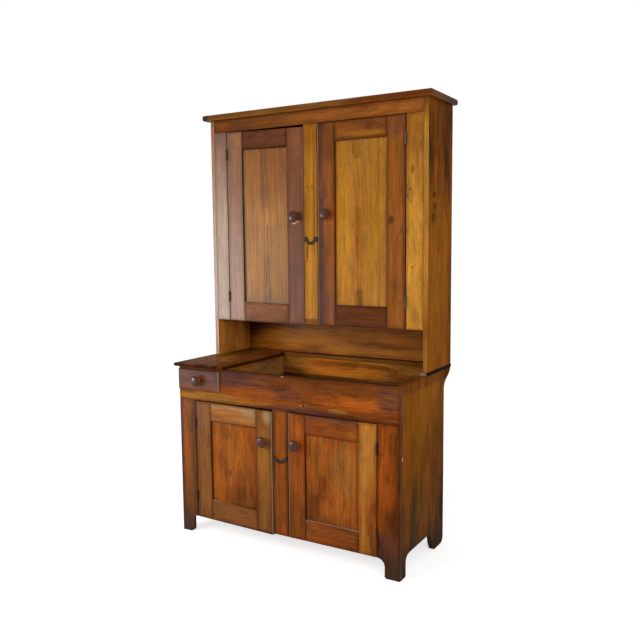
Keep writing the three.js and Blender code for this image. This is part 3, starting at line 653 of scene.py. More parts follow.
def patched_tone(tree, finish, place, seed):
    """The ground colour of a board with its patches laid over it one by one."""
    ground = shaded(finish["base"], finish["shade"])
    for number, spot in enumerate(finish["patches"]):
        found = add_group(tree, patch_group(), {
            "place": place, "middle": spot["middle"], "reach": spot["reach"], "softness": spot["softness"],
            "ragged": spot["ragged"], "seed": seed + number * PATCH_SEED_STEP,
        })
        ground = blend_colour(found.cover * spot["cover"], ground, shaded(spot["name"], spot["shade"]))
    return ground


def pine_material(name, low, high, finish, wear):
    """A material of aged pine for a board between two corners."""
    material, tree, shader = new_material(name)
    place, half = grain_place(tree, low, high)
    seed = seed_of(name)
    knots = (*finish["knots"], NO_KNOT, NO_KNOT)
    crowns = (*finish["crowns"], NO_CROWN, NO_CROWN)
    wood = add_group(tree, pine_group(), {
        **{value: finish[value] for value in LOOK_VALUES}, "place": place, "half": half, "seed": seed,
        "knot_a": knots[0], "knot_b": knots[1], "crown_a": crowns[0], "crown_b": crowns[1],
        "rub": finish["rub"], "wear": wear, "tone": patched_tone(tree, finish, place, seed),
        "stain": shaded(finish["stain"], finish["shade"]), "worn": shaded("worn"), "soot": shaded("soot"),
    })
    feed(shader, {
        "Base Color": wood.colour, "Roughness": wood.rough, "Normal": bumped(wood.relief, *WOOD_RELIEF),
        "Specular IOR Level": finish["shine"],
    })
    return material


def board_woods(name, low, high, finish):
    """The materials of a board's faces and of its rubbed edges."""
    face = pine_material(name + "_wood", low, high, finish, finish["wear"])
    return face, pine_material(name + "_edge", low, high, finish, finish["edge_wear"])


def seed_of(name):
    """A number from a name, so that each board has its own grain, the same on every run."""
    return sum(place * ord(letter) for place, letter in enumerate(name, start=3)) % SEED_COUNT * SEED_STEP


def iron_material(name, first, second):
    """Old iron of two colours with a cast, uneven face."""
    found = bpy.data.materials.get(name)
    if found:
        return found
    material, tree, shader = new_material(name)
    source = object_place(tree)
    spots = noise(source, "rust")
    cast = noise(source, "cast")
    feed(shader, {
        "Base Color": blend_colour(fade(spots, "rust"), shaded(first), shaded(second)),
        "Roughness": fade(spots, "iron_rough"), "Normal": bumped(cast + spots, *IRON_RELIEF),
        "Metallic": 0.1, "Specular IOR Level": 0.15,
    })
    return material


def black_iron():
    return iron_material("blackened_iron", "iron", "rust")


# The upper hinges get a lighter iron, a painted highlight over rubbed iron; the lower ones get dark rusted
# iron
def hinge_iron(row):
    if row == "upper":
        return iron_material("rubbed_iron", "rubbed_iron", "rust")
    return iron_material("rusted_iron", "rust", "iron")


# Modelling helpers

def deselect():
    bpy.ops.object.select_all(action="DESELECT")


def take(piece):
    """Makes a piece the only one selected, and the active one."""
    deselect()
    piece.select_set(True)
    bpy.context.view_layer.objects.active = piece


def settle():
    """Puts the place, turn and scale of the selected piece into its mesh."""
    bpy.ops.object.transform_apply(location=True, rotation=True, scale=True)


def finish_piece(piece, name, body, materials):
    """Names a finished mesh, puts its place into its mesh, and lets it move with a body."""
    piece.name = name
    piece.data.name = name
    piece.data.materials.clear()
    for material in materials:
        piece.data.materials.append(material)
    take(piece)
    settle()
    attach(piece, body)


def place_piece(piece, location, turn=(0.0, 0.0, 0.0)):
    """Turns and moves a piece, and puts its place into its mesh."""
    take(piece)
    piece.rotation_euler = turn
    piece.location = location
    settle()
    return piece


def opened():
    """The mesh that was added last, settled and open for editing."""
    settle()
    bpy.ops.object.mode_set(mode="EDIT")
    return bpy.context.object


def open_box(low, high):
    """A box between two corners, open for editing."""
    deselect()
    bpy.ops.mesh.primitive_cube_add(size=1, location=(low + high) / 2)
    bpy.context.object.scale = high - low
    return opened()


def close_edit():
    bpy.ops.object.mode_set(mode="OBJECT")


def pick(piece, kind, test):
    """Selects, in edit mode, the vertices, edges or faces that pass a test."""
    bpy.ops.mesh.select_mode(type=kind)
    bpy.ops.mesh.select_all(action="DESELECT")
    mesh = bmesh.from_edit_mesh(piece.data)
    parts = {"VERT": mesh.verts, "EDGE": mesh.edges, "FACE": mesh.faces}[kind]
    chosen = [part for part in parts if test(part)]
    for part in chosen:
        part.select_set(True)
    mesh.select_flush_mode()
    bmesh.update_edit_mesh(piece.data)
    if not chosen:
        raise RuntimeError(f"nothing of {piece.name} was selected")


def extrude(way):
    """Draws the selected faces of the open mesh out along a vector."""
    bpy.ops.mesh.extrude_region_move(TRANSFORM_OT_translate={"value": way})


def slice_at(point, normal):
    """Cuts every face of the open mesh along a plane and keeps both sides."""
    bpy.ops.mesh.select_all(action="SELECT")
    bpy.ops.mesh.bisect(plane_co=point, plane_no=normal)


def on_hull(low, high):
    """A test for the edges along the outer arrises of a box between two corners."""
    def extremes(point):
        return {
            (axis, side)
            for axis in range(3)
            for side, bound in enumerate((low, high))
            if abs(point[axis] - bound[axis]) < TOUCH
        }

    return lambda edge: len(extremes(edge.verts[0].co) & extremes(edge.verts[1].co)) >= 2


def bevel_hull(piece, low, high, width, segments=2, material=-1):
    pick(piece, "EDGE", on_hull(low, high))
    bpy.ops.mesh.bevel(offset=width, segments=segments, affect="EDGES", material=material)


def smooth(piece, degrees):
    take(piece)
    bpy.ops.object.shade_smooth_by_angle(angle=math.radians(degrees))


def copied(piece, name):
    """A copy of a piece with its own mesh."""
    twin = piece.copy()
    twin.data = piece.data.copy()
    twin.name = name
    bpy.context.scene.collection.objects.link(twin)
    return twin


def joined(pieces):
    """Several meshes as one."""
    take(pieces[0])
    for piece in pieces:
        piece.select_set(True)
    bpy.ops.object.join()
    return bpy.context.object


# Finishes of the boards. The first four values of a look are its colour and shade and its stain and share.
# A patch has a colour, its middle and its reach across and along the grain in metres, a shade and a cover.

# Some patches and raised tones paint light or shade, as the notes above them say.
BOARDS = {
    "upper_cornice": look(
        "amber", 0.8, "red_brown", 0.6,
        patch("honey", -0.16, -0.2, 0.012, 0.6, 0.68, 0.9, 0.3, 0.3),
        patch("russet", -0.16, 0.45, 0.012, 0.2, 0.8, 0.8), patch("dark_red", 0.06, 0.2, 0.12, 0.7, 0.8, 0.6),
        patch("soot", 0, -0.635, 0.6, 0.03, 0.9, 1, 0.2, 0.2),
        patch("soot", 0.13, 0.64, 0.12, 0.03, 0.9, 0.8),
        edge_wear=0, grime=0,
    ),
    "upper_top_rail": look(
        "red_brown", 1.12, "amber", 0.4,
        patch("dark_red", 0, -0.42, 0.06, 0.3, 1.1, 0.7), patch("tan", 0.02, -0.1, 0.01, 0.3, 0.8, 0.5),
        mark("cream", 0.012, 0.49, 0.002, 0.004, 0.35, 0.7),
        offset=0.01, edge_wear=0.1,
    ),
    "upper_left_stile": look(
        "tan", 0.95, "red_brown", 0.3,
        # The darker amber top is painted shade where the window's gleam fades, and the pale worn middle is a
        # painted sheen
        patch("amber", 0, 0.42, 0.08, 0.28, 0.25), patch("worn", 0, 0.05, 0.06, 0.3, 1, 0.5),
        patch("honey", 0, -0.38, 0.06, 0.2, 0.7, 0.5),
        grime=0.4, shine=0.5, rough=0.4,
    ),
    "upper_mullion": look(
        "gold", 1.15, "amber", 0.25,
        patch("amber", 0, 0.47, 0.06, 0.12, 1.05, 0.8), patch("orange", 0.02, 0.1, 0.006, 0.5, 0.8, 0.6),
        patch("honey", 0, -0.36, 0.06, 0.2, 1.05, 0.7), mark("soot", -0.019, 0.186, 0.003, 0.007),
        mark("soot", 0.01, 0.184, 0.003, 0.008), patch("soot", -0.02, -0.13, 0.008, 0.04, 1.2, 0.6),
        mark("dark_red", 0.006, -0.12, 0.003, 0.006), mark("dark_red", -0.006, -0.178, 0.003, 0.005),
        patch("dark_red", 0, -0.47, 0.06, 0.012, 0.9, 0.7),
        offset=0.05, mottle=0.3,
    ),
    "upper_right_stile": look(
        "pale_gold", 1, "honey", 0.5,
        patch("amber", -0.01, 0.43, 0.06, 0.13, 1, 0.8), patch("amber", 0.01, 0.24, 0.012, 0.1, 1.05, 0.7),
        mark("dark_red", -0.024, 0.151, 0.005, 0.006, 0.9),
        mark("cream", -0.03, 0.14, 0.005, 0.006, 0.5, 0.6),
        patch("amber", -0.012, 0.24, 0.012, 0.02, 0.8, 0.8), mark("dark_red", -0.035, 0.12, 0.003, 0.012),
        mark("dark_red", -0.012, -0.2, 0.004, 0.005, 1.1),
        offset=0.03, edge_wear=0.4, mottle=0.7,
    ),
    "upper_left_side": look(
        "side", 0.95, "amber", 0.5,
        # The pale worn strip on the front edge is a painted sheen over the stile's tan, and the honey patch
        # on the inner face paints light into the shaded open shelf
        patch("tan", -0.149, 0.1, 0.005, 0.53, 1, 1, 0.2, 0.1), patch("worn", -0.149, 0, 0.005, 0.4, 1, 0.4),
        at_depth(patch("honey", 0, -0.55, 0.3, 0.13, 1.9, 1, 0.2), -0.011, 0.006),
        at_depth(patch("dark_red", 0.12, -0.45, 0.05, 0.06, 1, 0.7), -0.011, 0.008),
        shine=0.5, rough=0.4, edge_wear=0, grime=0.2, crease=0,
    ),
    "upper_right_side": look(
        "side", 1.5, "amber", 0.4,
        patch("dark_red", 0, 0.57, 0.3, 0.32, 0.5, 0.95), patch("dark_red", 0.13, 0.1, 0.04, 1.2, 0.9, 0.6),
        patch("orange", -0.06, 0.297, 0.02, 0.06, 1.1, 0.8), patch("gold", -0.04, -0.2, 0.06, 0.3, 0.8, 0.5),
        patch("dark_red", -0.08, 0.19, 0.018, 0.012, 0.6, 0.85),
        patch("dark_red", -0.07, 0.14, 0.024, 0.014, 0.5, 0.9),
        patch("dark_red", -0.09, 0.09, 0.018, 0.022, 0.6, 0.8),
        patch("dark_red", -0.03, 0.2, 0.012, 0.02, 0.7, 0.7),
        patch("dark_red", -0.04, 0.27, 0.01, 0.03, 0.7, 0.7),
        patch("honey", -0.149, -0.53, 0.005, 0.12, 0.95, 1, 0.2, 0.2),
        patch("pale_gold", -0.149, 0.1, 0.004, 0.52, 0.95, 1, 0.15, 0.05),
        at_depth(patch("worn", -0.149, 0.05, 0.003, 0.55, 1, 0.9, 0.3, 0.3), -0.011, 0.004),
        ring=0.012, shine=0.002, grime=0.1, edge_wear=0.1, crease=0,
    ),
    "upper_bottom_board": look("side", 0.8, "bare", 0.4, rough=0.6),
    "upper_low_shelf": look("bare", 0.9, "side", 0.3, rough=0.65),
    "upper_high_shelf": look("bare", 0.9, "side", 0.3, rough=0.65),
    "shelf_back": look(
        # Its tone is raised to paint light into the shaded open shelf. The dark red at its left end is a
        # painted shadow cast by the left side, the lighter honey beside it is painted light, and the dark red
        # band along its top is painted shade under the upper cupboard
        "shelf", 2.3, "amber", 0.4,
        patch("dark_red", 0, -0.45, 0.14, 0.26, 0.3, 0.95),
        patch("honey", -0.01, -0.25, 0.05, 0.22, 1.5, 0.6),
        patch("dark_red", -0.03, 0.36, 0.015, 0.3, 1.9, 0.6), patch("dark_red", 0.09, 0, 0.02, 1.2, 1.4, 0.7),
        contrast=0.6, ring=0.009, offset=0.05,
    ),
    "lower_left_side": look(
        "side", 0.9, "amber", 0.5,
        patch("dark_red", -0.283, 0, 0.005, 0.5, 0.9, 0.9, 0.2, 0.1),
        foot=0.9, crease=0,
    ),
    "lower_right_side": look(
        "side", 1.2, "amber", 0.4,
        patch("olive", 0, -0.26, 0.5, 0.24, 0.5, 0.85), patch("dust", 0, -0.28, 0.5, 0.2, 0.28, 0.45),
        patch("soot", 0.25, -0.1, 0.17, 0.7, 0.42, 0.95), patch("gold", 0, 0.28, 0.3, 0.14, 0.95, 0.3),
        patch("red_brown", -0.284, 0.05, 0.005, 0.4, 0.8, 0.9, 0.2, 0.1),
        patch("dark_red", 0.05, 0, 0.1, 0.3, 1.3, 0.5), mark("cream", -0.282, 0.111, 0.005, 0.009, 1.1),
        patch("dark_red", 0, 0.41, 0.5, 0.03, 1, 0.6),
        foot=0.8, ring=0.013, shine=0.002, mottle=0.45, grime=0.1, edge_wear=0.1, crease=0,
    ),
    "lower_left_stile": look(
        "red_brown", 0.9, "tan", 0.3,
        # The dark red and plum edges with the orange streak between them paint the shading and soft highlight
        # of a rounded stile
        patch("dark_red", 0.036, 0.05, 0.02, 0.5, 0.9, 0.85), patch("plum", -0.045, 0, 0.012, 0.6, 0.7, 0.8),
        patch("orange", -0.018, 0.15, 0.014, 0.3, 0.9, 0.6), patch("dark_red", 0, -0.2, 0.08, 0.08, 0.7, 0.7),
        foot=0.95, shine=0.06,
    ),
    "lower_right_stile": look(
        "orange", 0.72, "dark_red", 0.4,
        patch("dark_red", 0.045, 0.1, 0.016, 0.5, 0.9, 0.8),
        patch("dark_red", 0.02, -0.08, 0.05, 0.08, 0.8, 0.8), patch("plum", 0, -0.22, 0.08, 0.08, 0.75, 0.8),
        patch("orange", -0.03, 0.12, 0.02, 0.14, 1, 0.7),
        foot=0.85, edge_wear=0.12, mottle=0.8, narrow=0.25, shine=0.02,
    ),
    "sink_front_board": look(
        "russet", 0.76, "amber", 0.3,
        patch("plum", 0.06, -0.24, 0.06, 0.18, 0.68, 0.95), patch("dark_red", 0.07, 0.1, 0.02, 0.3, 0.9, 0.8),
        patch("dark_red", 0.05, 0.32, 0.032, 0.28, 1.1, 0.85),
        patch("orange", -0.012, 0.37, 0.026, 0.16, 1.2, 0.8),
        patch("dark_red", 0.045, -0.02, 0.035, 0.16, 1.3, 0.5),
        patch("plum", -0.005, -0.04, 0.03, 0.15, 0.9, 0.55),
        patch("honey", -0.053, 0.31, 0.012, 0.045, 1.1, 0.5),
        patch("orange", -0.02, -0.16, 0.03, 0.14, 0.75, 0.7), patch("plum", 0.03, 0.56, 0.06, 0.06, 0.9, 0.8),
        patch("plum", -0.072, 0.1, 0.016, 0.3, 0.9, 0.8),
        patch("honey", -0.065, -0.42, 0.026, 0.2, 0.85, 0.95),
        patch("amber", -0.058, -0.16, 0.012, 0.1, 1.2, 0.7),
        mark("cream", 0.078, 0.013, 0.003, 0.009, 0.7, 0.8), mark("dust", -0.047, 0.115, 0.004, 0.008, 1.2),
        at_depth(patch("worn", 0, 0.609, 0.09, 0.003, 0.8, 0.8, 0.3, 0.3), -0.011, 0.004),
        mark("dust", -0.04, 0.14, 0.003, 0.01, 1.1),
        contrast=0.6, edge_wear=0.15, mottle=0.7, narrow=0.25, shine=0.02, knots=((-0.047, 0.126, 0.006),),
    ),
    "lower_mullion": look(
        "orange", 0.78, "amber", 0.4,
        # The dark red strips along its edges are painted shadow where the doors meet it
        patch("dark_red", -0.036, 0, 0.012, 1, 0.9, 0.9), patch("dark_red", 0.04, 0, 0.01, 1, 0.9, 0.9),
        patch("dark_red", 0, -0.16, 0.06, 0.1, 1.4, 0.4),
        mottle=0.6,
    ),
    "lower_bottom_board": look("bare", 0.8, "side", 0.4, rough=0.65),
    "well_bottom": look("shelf", 0.85, "soot", 0.5, rough=0.55),
    "well_left_wall": look(
        # Its tone is raised to paint light into the shaded well
        "olive", 4, "side", 0.4,
        patch("dust", 0, 0.1, 0.06, 0.2, 1, 0.4),
        rough=0.5, edge_wear=0,
    ),
    "well_right_wall": look("olive", 2, "side", 0.5, rough=0.5, edge_wear=0),
    "well_back_wall": look(
        "amber", 1.95, "honey", 0.35,
        # Its tone is raised to paint light into the shaded well. The dark red at its right end is a painted
        # shadow under the rest strip, and the near black band along its bottom is painted shade in the bottom
        # of the well
        patch("dark_red", 0, 0.46, 0.1, 0.2, 0.95, 0.85), patch("olive", 0, -0.28, 0.1, 0.05, 1.5, 0.8),
        patch("dark_red", 0, -0.35, 0.1, 0.18, 1.1, 0.85),
        patch("soot", -0.052, 0, 0.014, 2, 0.7, 0.8, 0.4, 0.5),
        patch("dark_red", 0.03, 0.1, 0.012, 0.3, 1.1, 0.7), patch("orange", 0.02, -0.1, 0.02, 0.14, 0.9, 0.6),
        rough=0.5, mottle=0.35, contrast=0.6, edge_wear=0, grime=0.2,
    ),
    "worktop": look(
        "top", 2.75, "red_brown", 0.25,
        patch("dust", -0.08, -0.22, 0.1, 0.13, 0.42, 0.9), patch("dust", 0.04, -0.25, 0.12, 0.1, 0.34, 0.85),
        patch("gold", -0.05, -0.03, 0.07, 0.09, 0.5, 0.8),
        patch("dust", 0, -0.31, 0.3, 0.05, 0.3, 1, 0.3, 0.3), patch("dark_red", 0.13, 0, 0.04, 0.6, 0.7, 0.8),
        patch("cream", 0.06, -0.14, 0.04, 0.016, 0.4, 0.5, 0.5, 0.5),
        patch("soot", -0.15, 0, 0.012, 1, 1.1, 0.8), patch("cream", 0.02, -0.12, 0.008, 0.03, 0.4, 0.7, 0.4),
        rough=0.26, shine=0.0005, edge_wear=0.1, mottle=0.8,
    ),
    "back_ledge": look(
        "honey", 0.85, "amber", 0.6,
        # The near black band along its top is a painted shadow in the gap between the shelf back and the well
        patch("soot", 0.012, 0, 0.034, 3, 0.6, 1, 0.12, 0.1),
        rough=0.5, edge_wear=0, grime=0,
    ),
    "upper_rest_strip": look(
        "top", 0.3, "soot", 0.3,
        # The pale cream mark on its front end is worn wood and a painted highlight on the rounded end
        mark("cream", 0, -0.157, 0.016, 0.006, 0.5),
        rough=0.5, shine=0.01, edge_wear=0.02, narrow=0.6,
    ),
    "drawer_front": look(
        "plum", 1.05, "red_brown", 0.25,
        patch("red_brown", -0.04, 0, 0.02, 0.16, 0.8, 0.6), patch("dark_red", 0, 0.025, 0.03, 0.03, 1, 0.7),
        edge_wear=0.6, rub=(0, 0.8, 1), shine=0.08, mottle=0.3,
    ),
    "drawer_left_board": look("bare", 0.95, "honey", 0.4, rough=0.65),
    "drawer_right_board": look("bare", 0.95, "honey", 0.4, rough=0.65),
    "drawer_back_board": look("bare", 0.95, "honey", 0.4, rough=0.65),
    "drawer_bottom": look("bare", 0.85, "honey", 0.4, rough=0.7),
    "upper_left_door_panel": look(
        "honey", 0.85, "tan", 0.4,
        # The darker amber top is painted shade where the window's gleam fades, and the grey brown along the
        # left and bottom edges is painted shade in the recess of the frame
        patch("amber", 0, 0.36, 0.2, 0.22, 0.7, 0.85), patch("dark_red", 0, -0.27, 0.006, 0.05, 1, 0.7),
        patch("dark_red", 0.02, -0.33, 0.007, 0.05, 1.2, 0.6), patch("dust", -0.14, 0, 0.02, 0.6, 0.6, 0.6),
        patch("dust", 0, -0.4, 0.2, 0.04, 0.7, 0.5),
        contrast=0.6, ring=0.0095, ring_share=0.9, depth=0.02, offset=0, lean=0, shine=0.16, rough=0.4,
        mottle=0.2, crowns=((-0.008, 0.25, 0.19), (0.004, -0.28, 0.16)),
    ),
    "upper_right_door_panel": look(
        "honey", 0.95, "gold", 0.5,
        patch("russet", -0.02, 0, 0.012, 0.2, 1.1, 0.9),
        patch("dark_red", -0.01, -0.33, 0.012, 0.07, 1.5, 0.6), patch("gold", -0.09, 0, 0.03, 0.4, 1.15, 0.6),
        patch("gold", 0.07, -0.1, 0.03, 0.3, 1.1, 0.5), patch("amber", 0.01, -0.05, 0.008, 0.3, 1.3, 0.5),
        contrast=0.6, ring=0.0095, ring_share=0.6, depth=0.02, offset=-0.04, lean=0, grime=0.4,
        crowns=((-0.018, 0.35, 0.06), (-0.014, -0.37, 0.07)), mottle=0.3,
    ),
    "lower_left_door_panel": look(
        "russet", 1.08, "amber", 0.6,
        patch("honey", -0.026, 0.02, 0.01, 0.2, 0.9, 0.6), mark("soot", -0.13, 0.142, 0.007, 0.008, 1.1),
        patch("dark_red", -0.027, -0.044, 0.006, 0.02, 0.7, 0.9),
        patch("dark_red", 0.05, -0.17, 0.12, 0.06, 1, 0.75),
        patch("dark_red", -0.09, 0.16, 0.05, 0.04, 1.1, 0.5),
        patch("amber", 0.03, 0.05, 0.07, 0.12, 1.3, 0.6),
        contrast=0.7, grime=0.7, mottle=0.6,
    ),
    "lower_right_door_panel": look(
        "russet", 1.2, "amber", 0.5,
        patch("dark_red", -0.07, 0.08, 0.03, 0.12, 1.2, 0.8),
        patch("honey", 0.06, 0.06, 0.06, 0.13, 0.9, 0.7),
        patch("dark_red", -0.06, -0.04, 0.012, 0.03, 1.5, 0.6),
        patch("dark_red", -0.1, -0.13, 0.05, 0.08, 0.9, 0.8), patch("dark_red", 0, -0.19, 0.1, 0.03, 1, 0.6),
        contrast=0.7, crowns=((-0.05, -0.04, 0.07),),
    ),
}

# Finishes of the two stiles and two rails of each door
DOOR_BOARDS = {
    "upper_left_door_hinge_stile": look(
        "tan", 0.98, "red_brown", 0.3,
        # The darker amber top is painted shade where the window's gleam fades
        patch("amber", 0, 0.4, 0.07, 0.2, 0.6, 0.85), patch("dark_red", 0.043, 0.09, 0.005, 0.035, 0.8, 0.9),
        patch("soot", -0.045, -0.3, 0.006, 0.05, 1.2, 0.6), patch("red_brown", 0.03, 0, 0.012, 0.5, 0.9, 0.5),
        shine=0.36, rough=0.4,
    ),
    "upper_left_door_free_stile": look(
        "red_brown", 0.85, "plum", 0.4,
        patch("plum", 0, -0.3, 0.06, 0.2, 1.3, 0.6), patch("red_brown", 0, 0.38, 0.07, 0.16, 0.75, 0.8),
        at_depth(mark("cream", -0.007, 0.013, 0.013, 0.004), -0.011, 0.004),
        at_depth(mark("cream", 0.011, 0.0215, 0.013, 0.0045), -0.011, 0.004),
        edge_wear=0.5, rub=(1, 0.35, 0), shine=0.12,
    ),
    "upper_left_door_top_rail": look("dark_red", 0.9, "plum", 0.4, mottle=0.6),
    "upper_left_door_bottom_rail": look(
        "red_brown", 0.84, "tan", 0.4,
        patch("dust", -0.1, 0, 0.03, 0.2, 1, 0.3),
        shine=0.08, rub=(1, 0.3, 0), edge_wear=0.4,
    ),
    "upper_right_door_hinge_stile": look(
        "red_brown", 1.15, "amber", 0.4,
        patch("plum", 0.042, 0, 0.008, 0.7, 0.9, 0.8), patch("tan", -0.02, 0.012, 0.022, 0.016, 1, 0.6),
        patch("plum", 0.01, 0.44, 0.06, 0.05, 1, 0.7),
        knots=((-0.0247, 0.0167, 0.018),),
    ),
    "upper_right_door_free_stile": look(
        "red_brown", 0.95, "amber", 0.4,
        patch("plum", -0.035, 0, 0.03, 0.9, 0.75, 0.9), patch("orange", 0.03, 0.05, 0.015, 0.2, 0.8, 0.6),
        patch("plum", 0, -0.42, 0.08, 0.1, 1.2, 0.6), patch("dark_red", 0, 0.42, 0.08, 0.1, 0.95, 0.7),
        edge_wear=0.6, rub=(-1, 0.7, 0), shine=0.06,
    ),
    "upper_right_door_top_rail": look(
        "red_brown", 0.86, "amber", 0.6,
        patch("gold", -0.02, 0.03, 0.012, 0.1, 0.7, 0.6),
        mottle=0.7,
    ),
    "upper_right_door_bottom_rail": look("dark_red", 1.06, "plum", 0.2, mottle=0.6),
    "lower_left_door_hinge_stile": look(
        "tan", 0.9, "red_brown", 0.5,
        patch("dust", -0.02, 0.22, 0.03, 0.06, 0.9, 0.6),
        shine=0.06, mottle=0.6,
    ),
    "lower_left_door_free_stile": look(
        "tan", 0.92, "amber", 0.4,
        # The pale worn patch near the top is worn wood and a painted sheen
        patch("worn", 0.022, 0.27, 0.03, 0.04, 1.1, 0.85), patch("honey", -0.01, 0.1, 0.05, 0.1, 1, 0.6),
        edge_wear=0.7, rub=(1, 0.7, 0), shine=0.03,
    ),
    "lower_left_door_top_rail": look(
        "tan", 1.08, "honey", 0.3,
        # The pale worn patches are worn wood and a painted sheen
        patch("worn", 0.02, 0.13, 0.03, 0.09, 1, 0.6), patch("worn", 0.03, 0, 0.008, 0.2, 0.9, 0.5),
        patch("amber", -0.02, -0.08, 0.02, 0.08, 1.1, 0.5),
        mottle=0.6, shine=0.06,
    ),
    "lower_left_door_bottom_rail": look(
        "tan", 0.85, "red_brown", 0.5, edge_wear=0.5, rub=(1, 0.8, 0), shine=0.06,
    ),
    "lower_right_door_hinge_stile": look(
        "orange", 1, "honey", 0.6,
        patch("orange", 0, -0.08, 0.06, 0.14, 0.95, 0.6), patch("honey", 0, 0.17, 0.06, 0.16, 1, 0.8),
        patch("dark_red", 0, -0.26, 0.08, 0.05, 1.2, 0.6),
        mottle=0.7,
    ),
    "lower_right_door_free_stile": look(
        "russet", 1.02, "amber", 0.3,
        patch("orange", 0, 0.2, 0.06, 0.08, 0.95, 0.7), patch("dark_red", 0, -0.22, 0.08, 0.1, 1.2, 0.6),
        edge_wear=0.5, rub=(-1, 0.6, 0), mottle=0.7,
    ),
    "lower_right_door_top_rail": look(
        "russet", 1.05, "dark_red", 0.3,
        patch("gold", -0.02, 0.11, 0.02, 0.03, 0.8, 0.4), patch("dust", 0.036, 0, 0.006, 0.3, 0.9, 0.6),
        mottle=0.8,
    ),
    "lower_right_door_bottom_rail": look(
        "russet", 0.85, "tan", 0.3, edge_wear=0.4, rub=(1, 0.6, 0), mottle=0.7,
    ),
}

WELD_REACH = 0.00002
ARRIS_ANGLE = math.radians(40)


def dress_board(name, finish):
    """Gives a solid of the frame its wood, eased edges and the rubbed finish of those edges."""
    board = frame["nodes"][name]
    face, edge = board_woods(name, *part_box(name), finish)
    board.material_slots[0].material = face
    board.data.materials.append(edge)
    weld = board.modifiers.new("weld", "WELD")
    weld.merge_threshold = WELD_REACH
    bevel = board.modifiers.new("arris", "BEVEL")
    bevel.width = sizes().arris
    bevel.segments = 2
    bevel.limit_method = "ANGLE"
    bevel.angle_limit = ARRIS_ANGLE
    bevel.material = 1


# Door frames

class DoorShape:
    """Where the boards of a door lie, from the solids of its frame and panel."""

    def __init__(self, name):
        self.name = name
        self.low, self.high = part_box(name + "_frame")
        self.panel_low, self.panel_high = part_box(name + "_panel")
        self.sag = getattr(sizes(), name.replace("door", "sag"))
        self.toward = 1 if "left" in name else -1
        self.hinge = self.low.x if self.toward > 0 else self.high.x
        self.width = self.high.x - self.low.x
        tongue = sizes().tongue
        self.stile = self.panel_low.x + tongue - self.low.x
        self.reach = tongue + sizes().groove_play
        self.bottom = self.low.z + self.sag
        self.window_top = self.panel_high.z - tongue + self.drop(self.stile - tongue)
        self.window_bottom = self.panel_low.z + tongue + self.drop(self.width - self.stile + tongue)

    def drop(self, distance_out):
        """How far a place at a distance from the hinge edge hangs down."""
        return self.sag * distance_out / self.width

    def across(self, start, end):
        """The x of two distances from the hinge edge, the lower one first."""
        return sorted((self.hinge + self.toward * start, self.hinge + self.toward * end))


def groove(piece, shape, direction, limits):
    """Ploughs the groove for the panel into the face of an open board that looks in a direction."""
    play = sizes().groove_play / 2
    front, back = shape.panel_low.y - play, shape.panel_high.y + play
    for depth in (front, back):
        slice_at((0, depth, 0), AXES[1])
    for height in limits:
        slice_at((0, 0, height), AXES[2])

    def inner(face):
        middle = face.calc_center_median()
        level = not limits or limits[0] < middle.z < limits[1]
        return face.normal.dot(direction) > FACING and front < middle.y < back and level

    pick(piece, "FACE", inner)
    extrude(-direction * shape.reach)


def hang(piece, shape):
    """Lets both ends of an open board hang down as the sagging door does."""
    xs = [vertex.co.x for vertex in bmesh.from_edit_mesh(piece.data).verts]
    middle = (min(xs) + max(xs)) / 2
    for end, test in ((min(xs), lambda v: v.co.x < middle), (max(xs), lambda v: v.co.x >= middle)):
        down = shape.drop(abs(end - shape.hinge))
        if down:
            pick(piece, "VERT", test)
            bpy.ops.transform.translate(value=(0, 0, -down))


def door_board(shape, part, low, high, direction, limits):
    """One stile or rail of a door, grooved for the panel and hung as the door sags."""
    name = f"{shape.name}_{part}"
    piece = open_box(low, high)
    bevel_hull(piece, low, high, sizes().joint, 2, 1)
    groove(piece, shape, direction, limits)
    hang(piece, shape)
    close_edit()
    slots = [polygon.material_index for polygon in piece.data.polygons]
    finish_piece(piece, name, shape.name, board_woods(name, low, high, DOOR_BOARDS[name]))
    piece.data.polygons.foreach_set("material_index", slots)
    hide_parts(shape.name + "_frame")


def door_frame(name):
    """The two stiles and the two rails between them. The rails are grooved from end to end."""
    shape = DoorShape(name)
    gap = sizes().joint_gap
    inward = Vector((shape.toward, 0, 0))
    window = (shape.window_bottom - shape.reach, shape.window_top + shape.reach)
    between = (shape.stile + gap, shape.width - shape.stile - gap)
    full = (shape.bottom, shape.high.z)
    for part, ends, levels, direction, limits in (
        ("hinge_stile", (0.0, shape.stile), full, inward, window),
        ("free_stile", (shape.width - shape.stile, shape.width), full, -inward, window),
        ("top_rail", between, (shape.window_top, shape.high.z), -AXES[2], ()),
        ("bottom_rail", between, (shape.bottom, shape.window_bottom), AXES[2], ()),
    ):
        left, right = shape.across(*ends)
        low = Vector((left, shape.low.y, levels[0]))
        high = Vector((right, shape.high.y, levels[1]))
        door_board(shape, part, low, high, direction, limits)


# Knobs, turn buttons and hinges

# The turned profile: shares of the knob's reach and of its radius, from the neck to the tip
KNOB_PROFILE = (
    (0.02, 0.52), (0.06, 0.5), (0.12, 0.42), (0.2, 0.38), (0.3, 0.39), (0.38, 0.46), (0.46, 0.6),
    (0.53, 0.78), (0.59, 0.92), (0.65, 0.985), (0.71, 1.0), (0.77, 0.99), (0.82, 0.95), (0.86, 0.89),
    (0.9, 0.8), (0.935, 0.67), (0.965, 0.5), (0.985, 0.3), (0.995, 0.12),
)
NECK_SHARE = 0.5
# The shares of the reach between which the orange of the neck, worn wood with painted light on it, fades out
NECK_WEAR_AND_LIGHT_FADE = (0.42, 0.62)
KNOB_SIDES = 40
TURNED_TO_FRONT = (math.pi / 2, 0, 0)


def draw_out(way, growth, middle):
    """Draws the selected faces out along a vector, then widens or narrows them about a point."""
    extrude(way)
    bpy.ops.transform.resize(value=growth, center_override=middle)


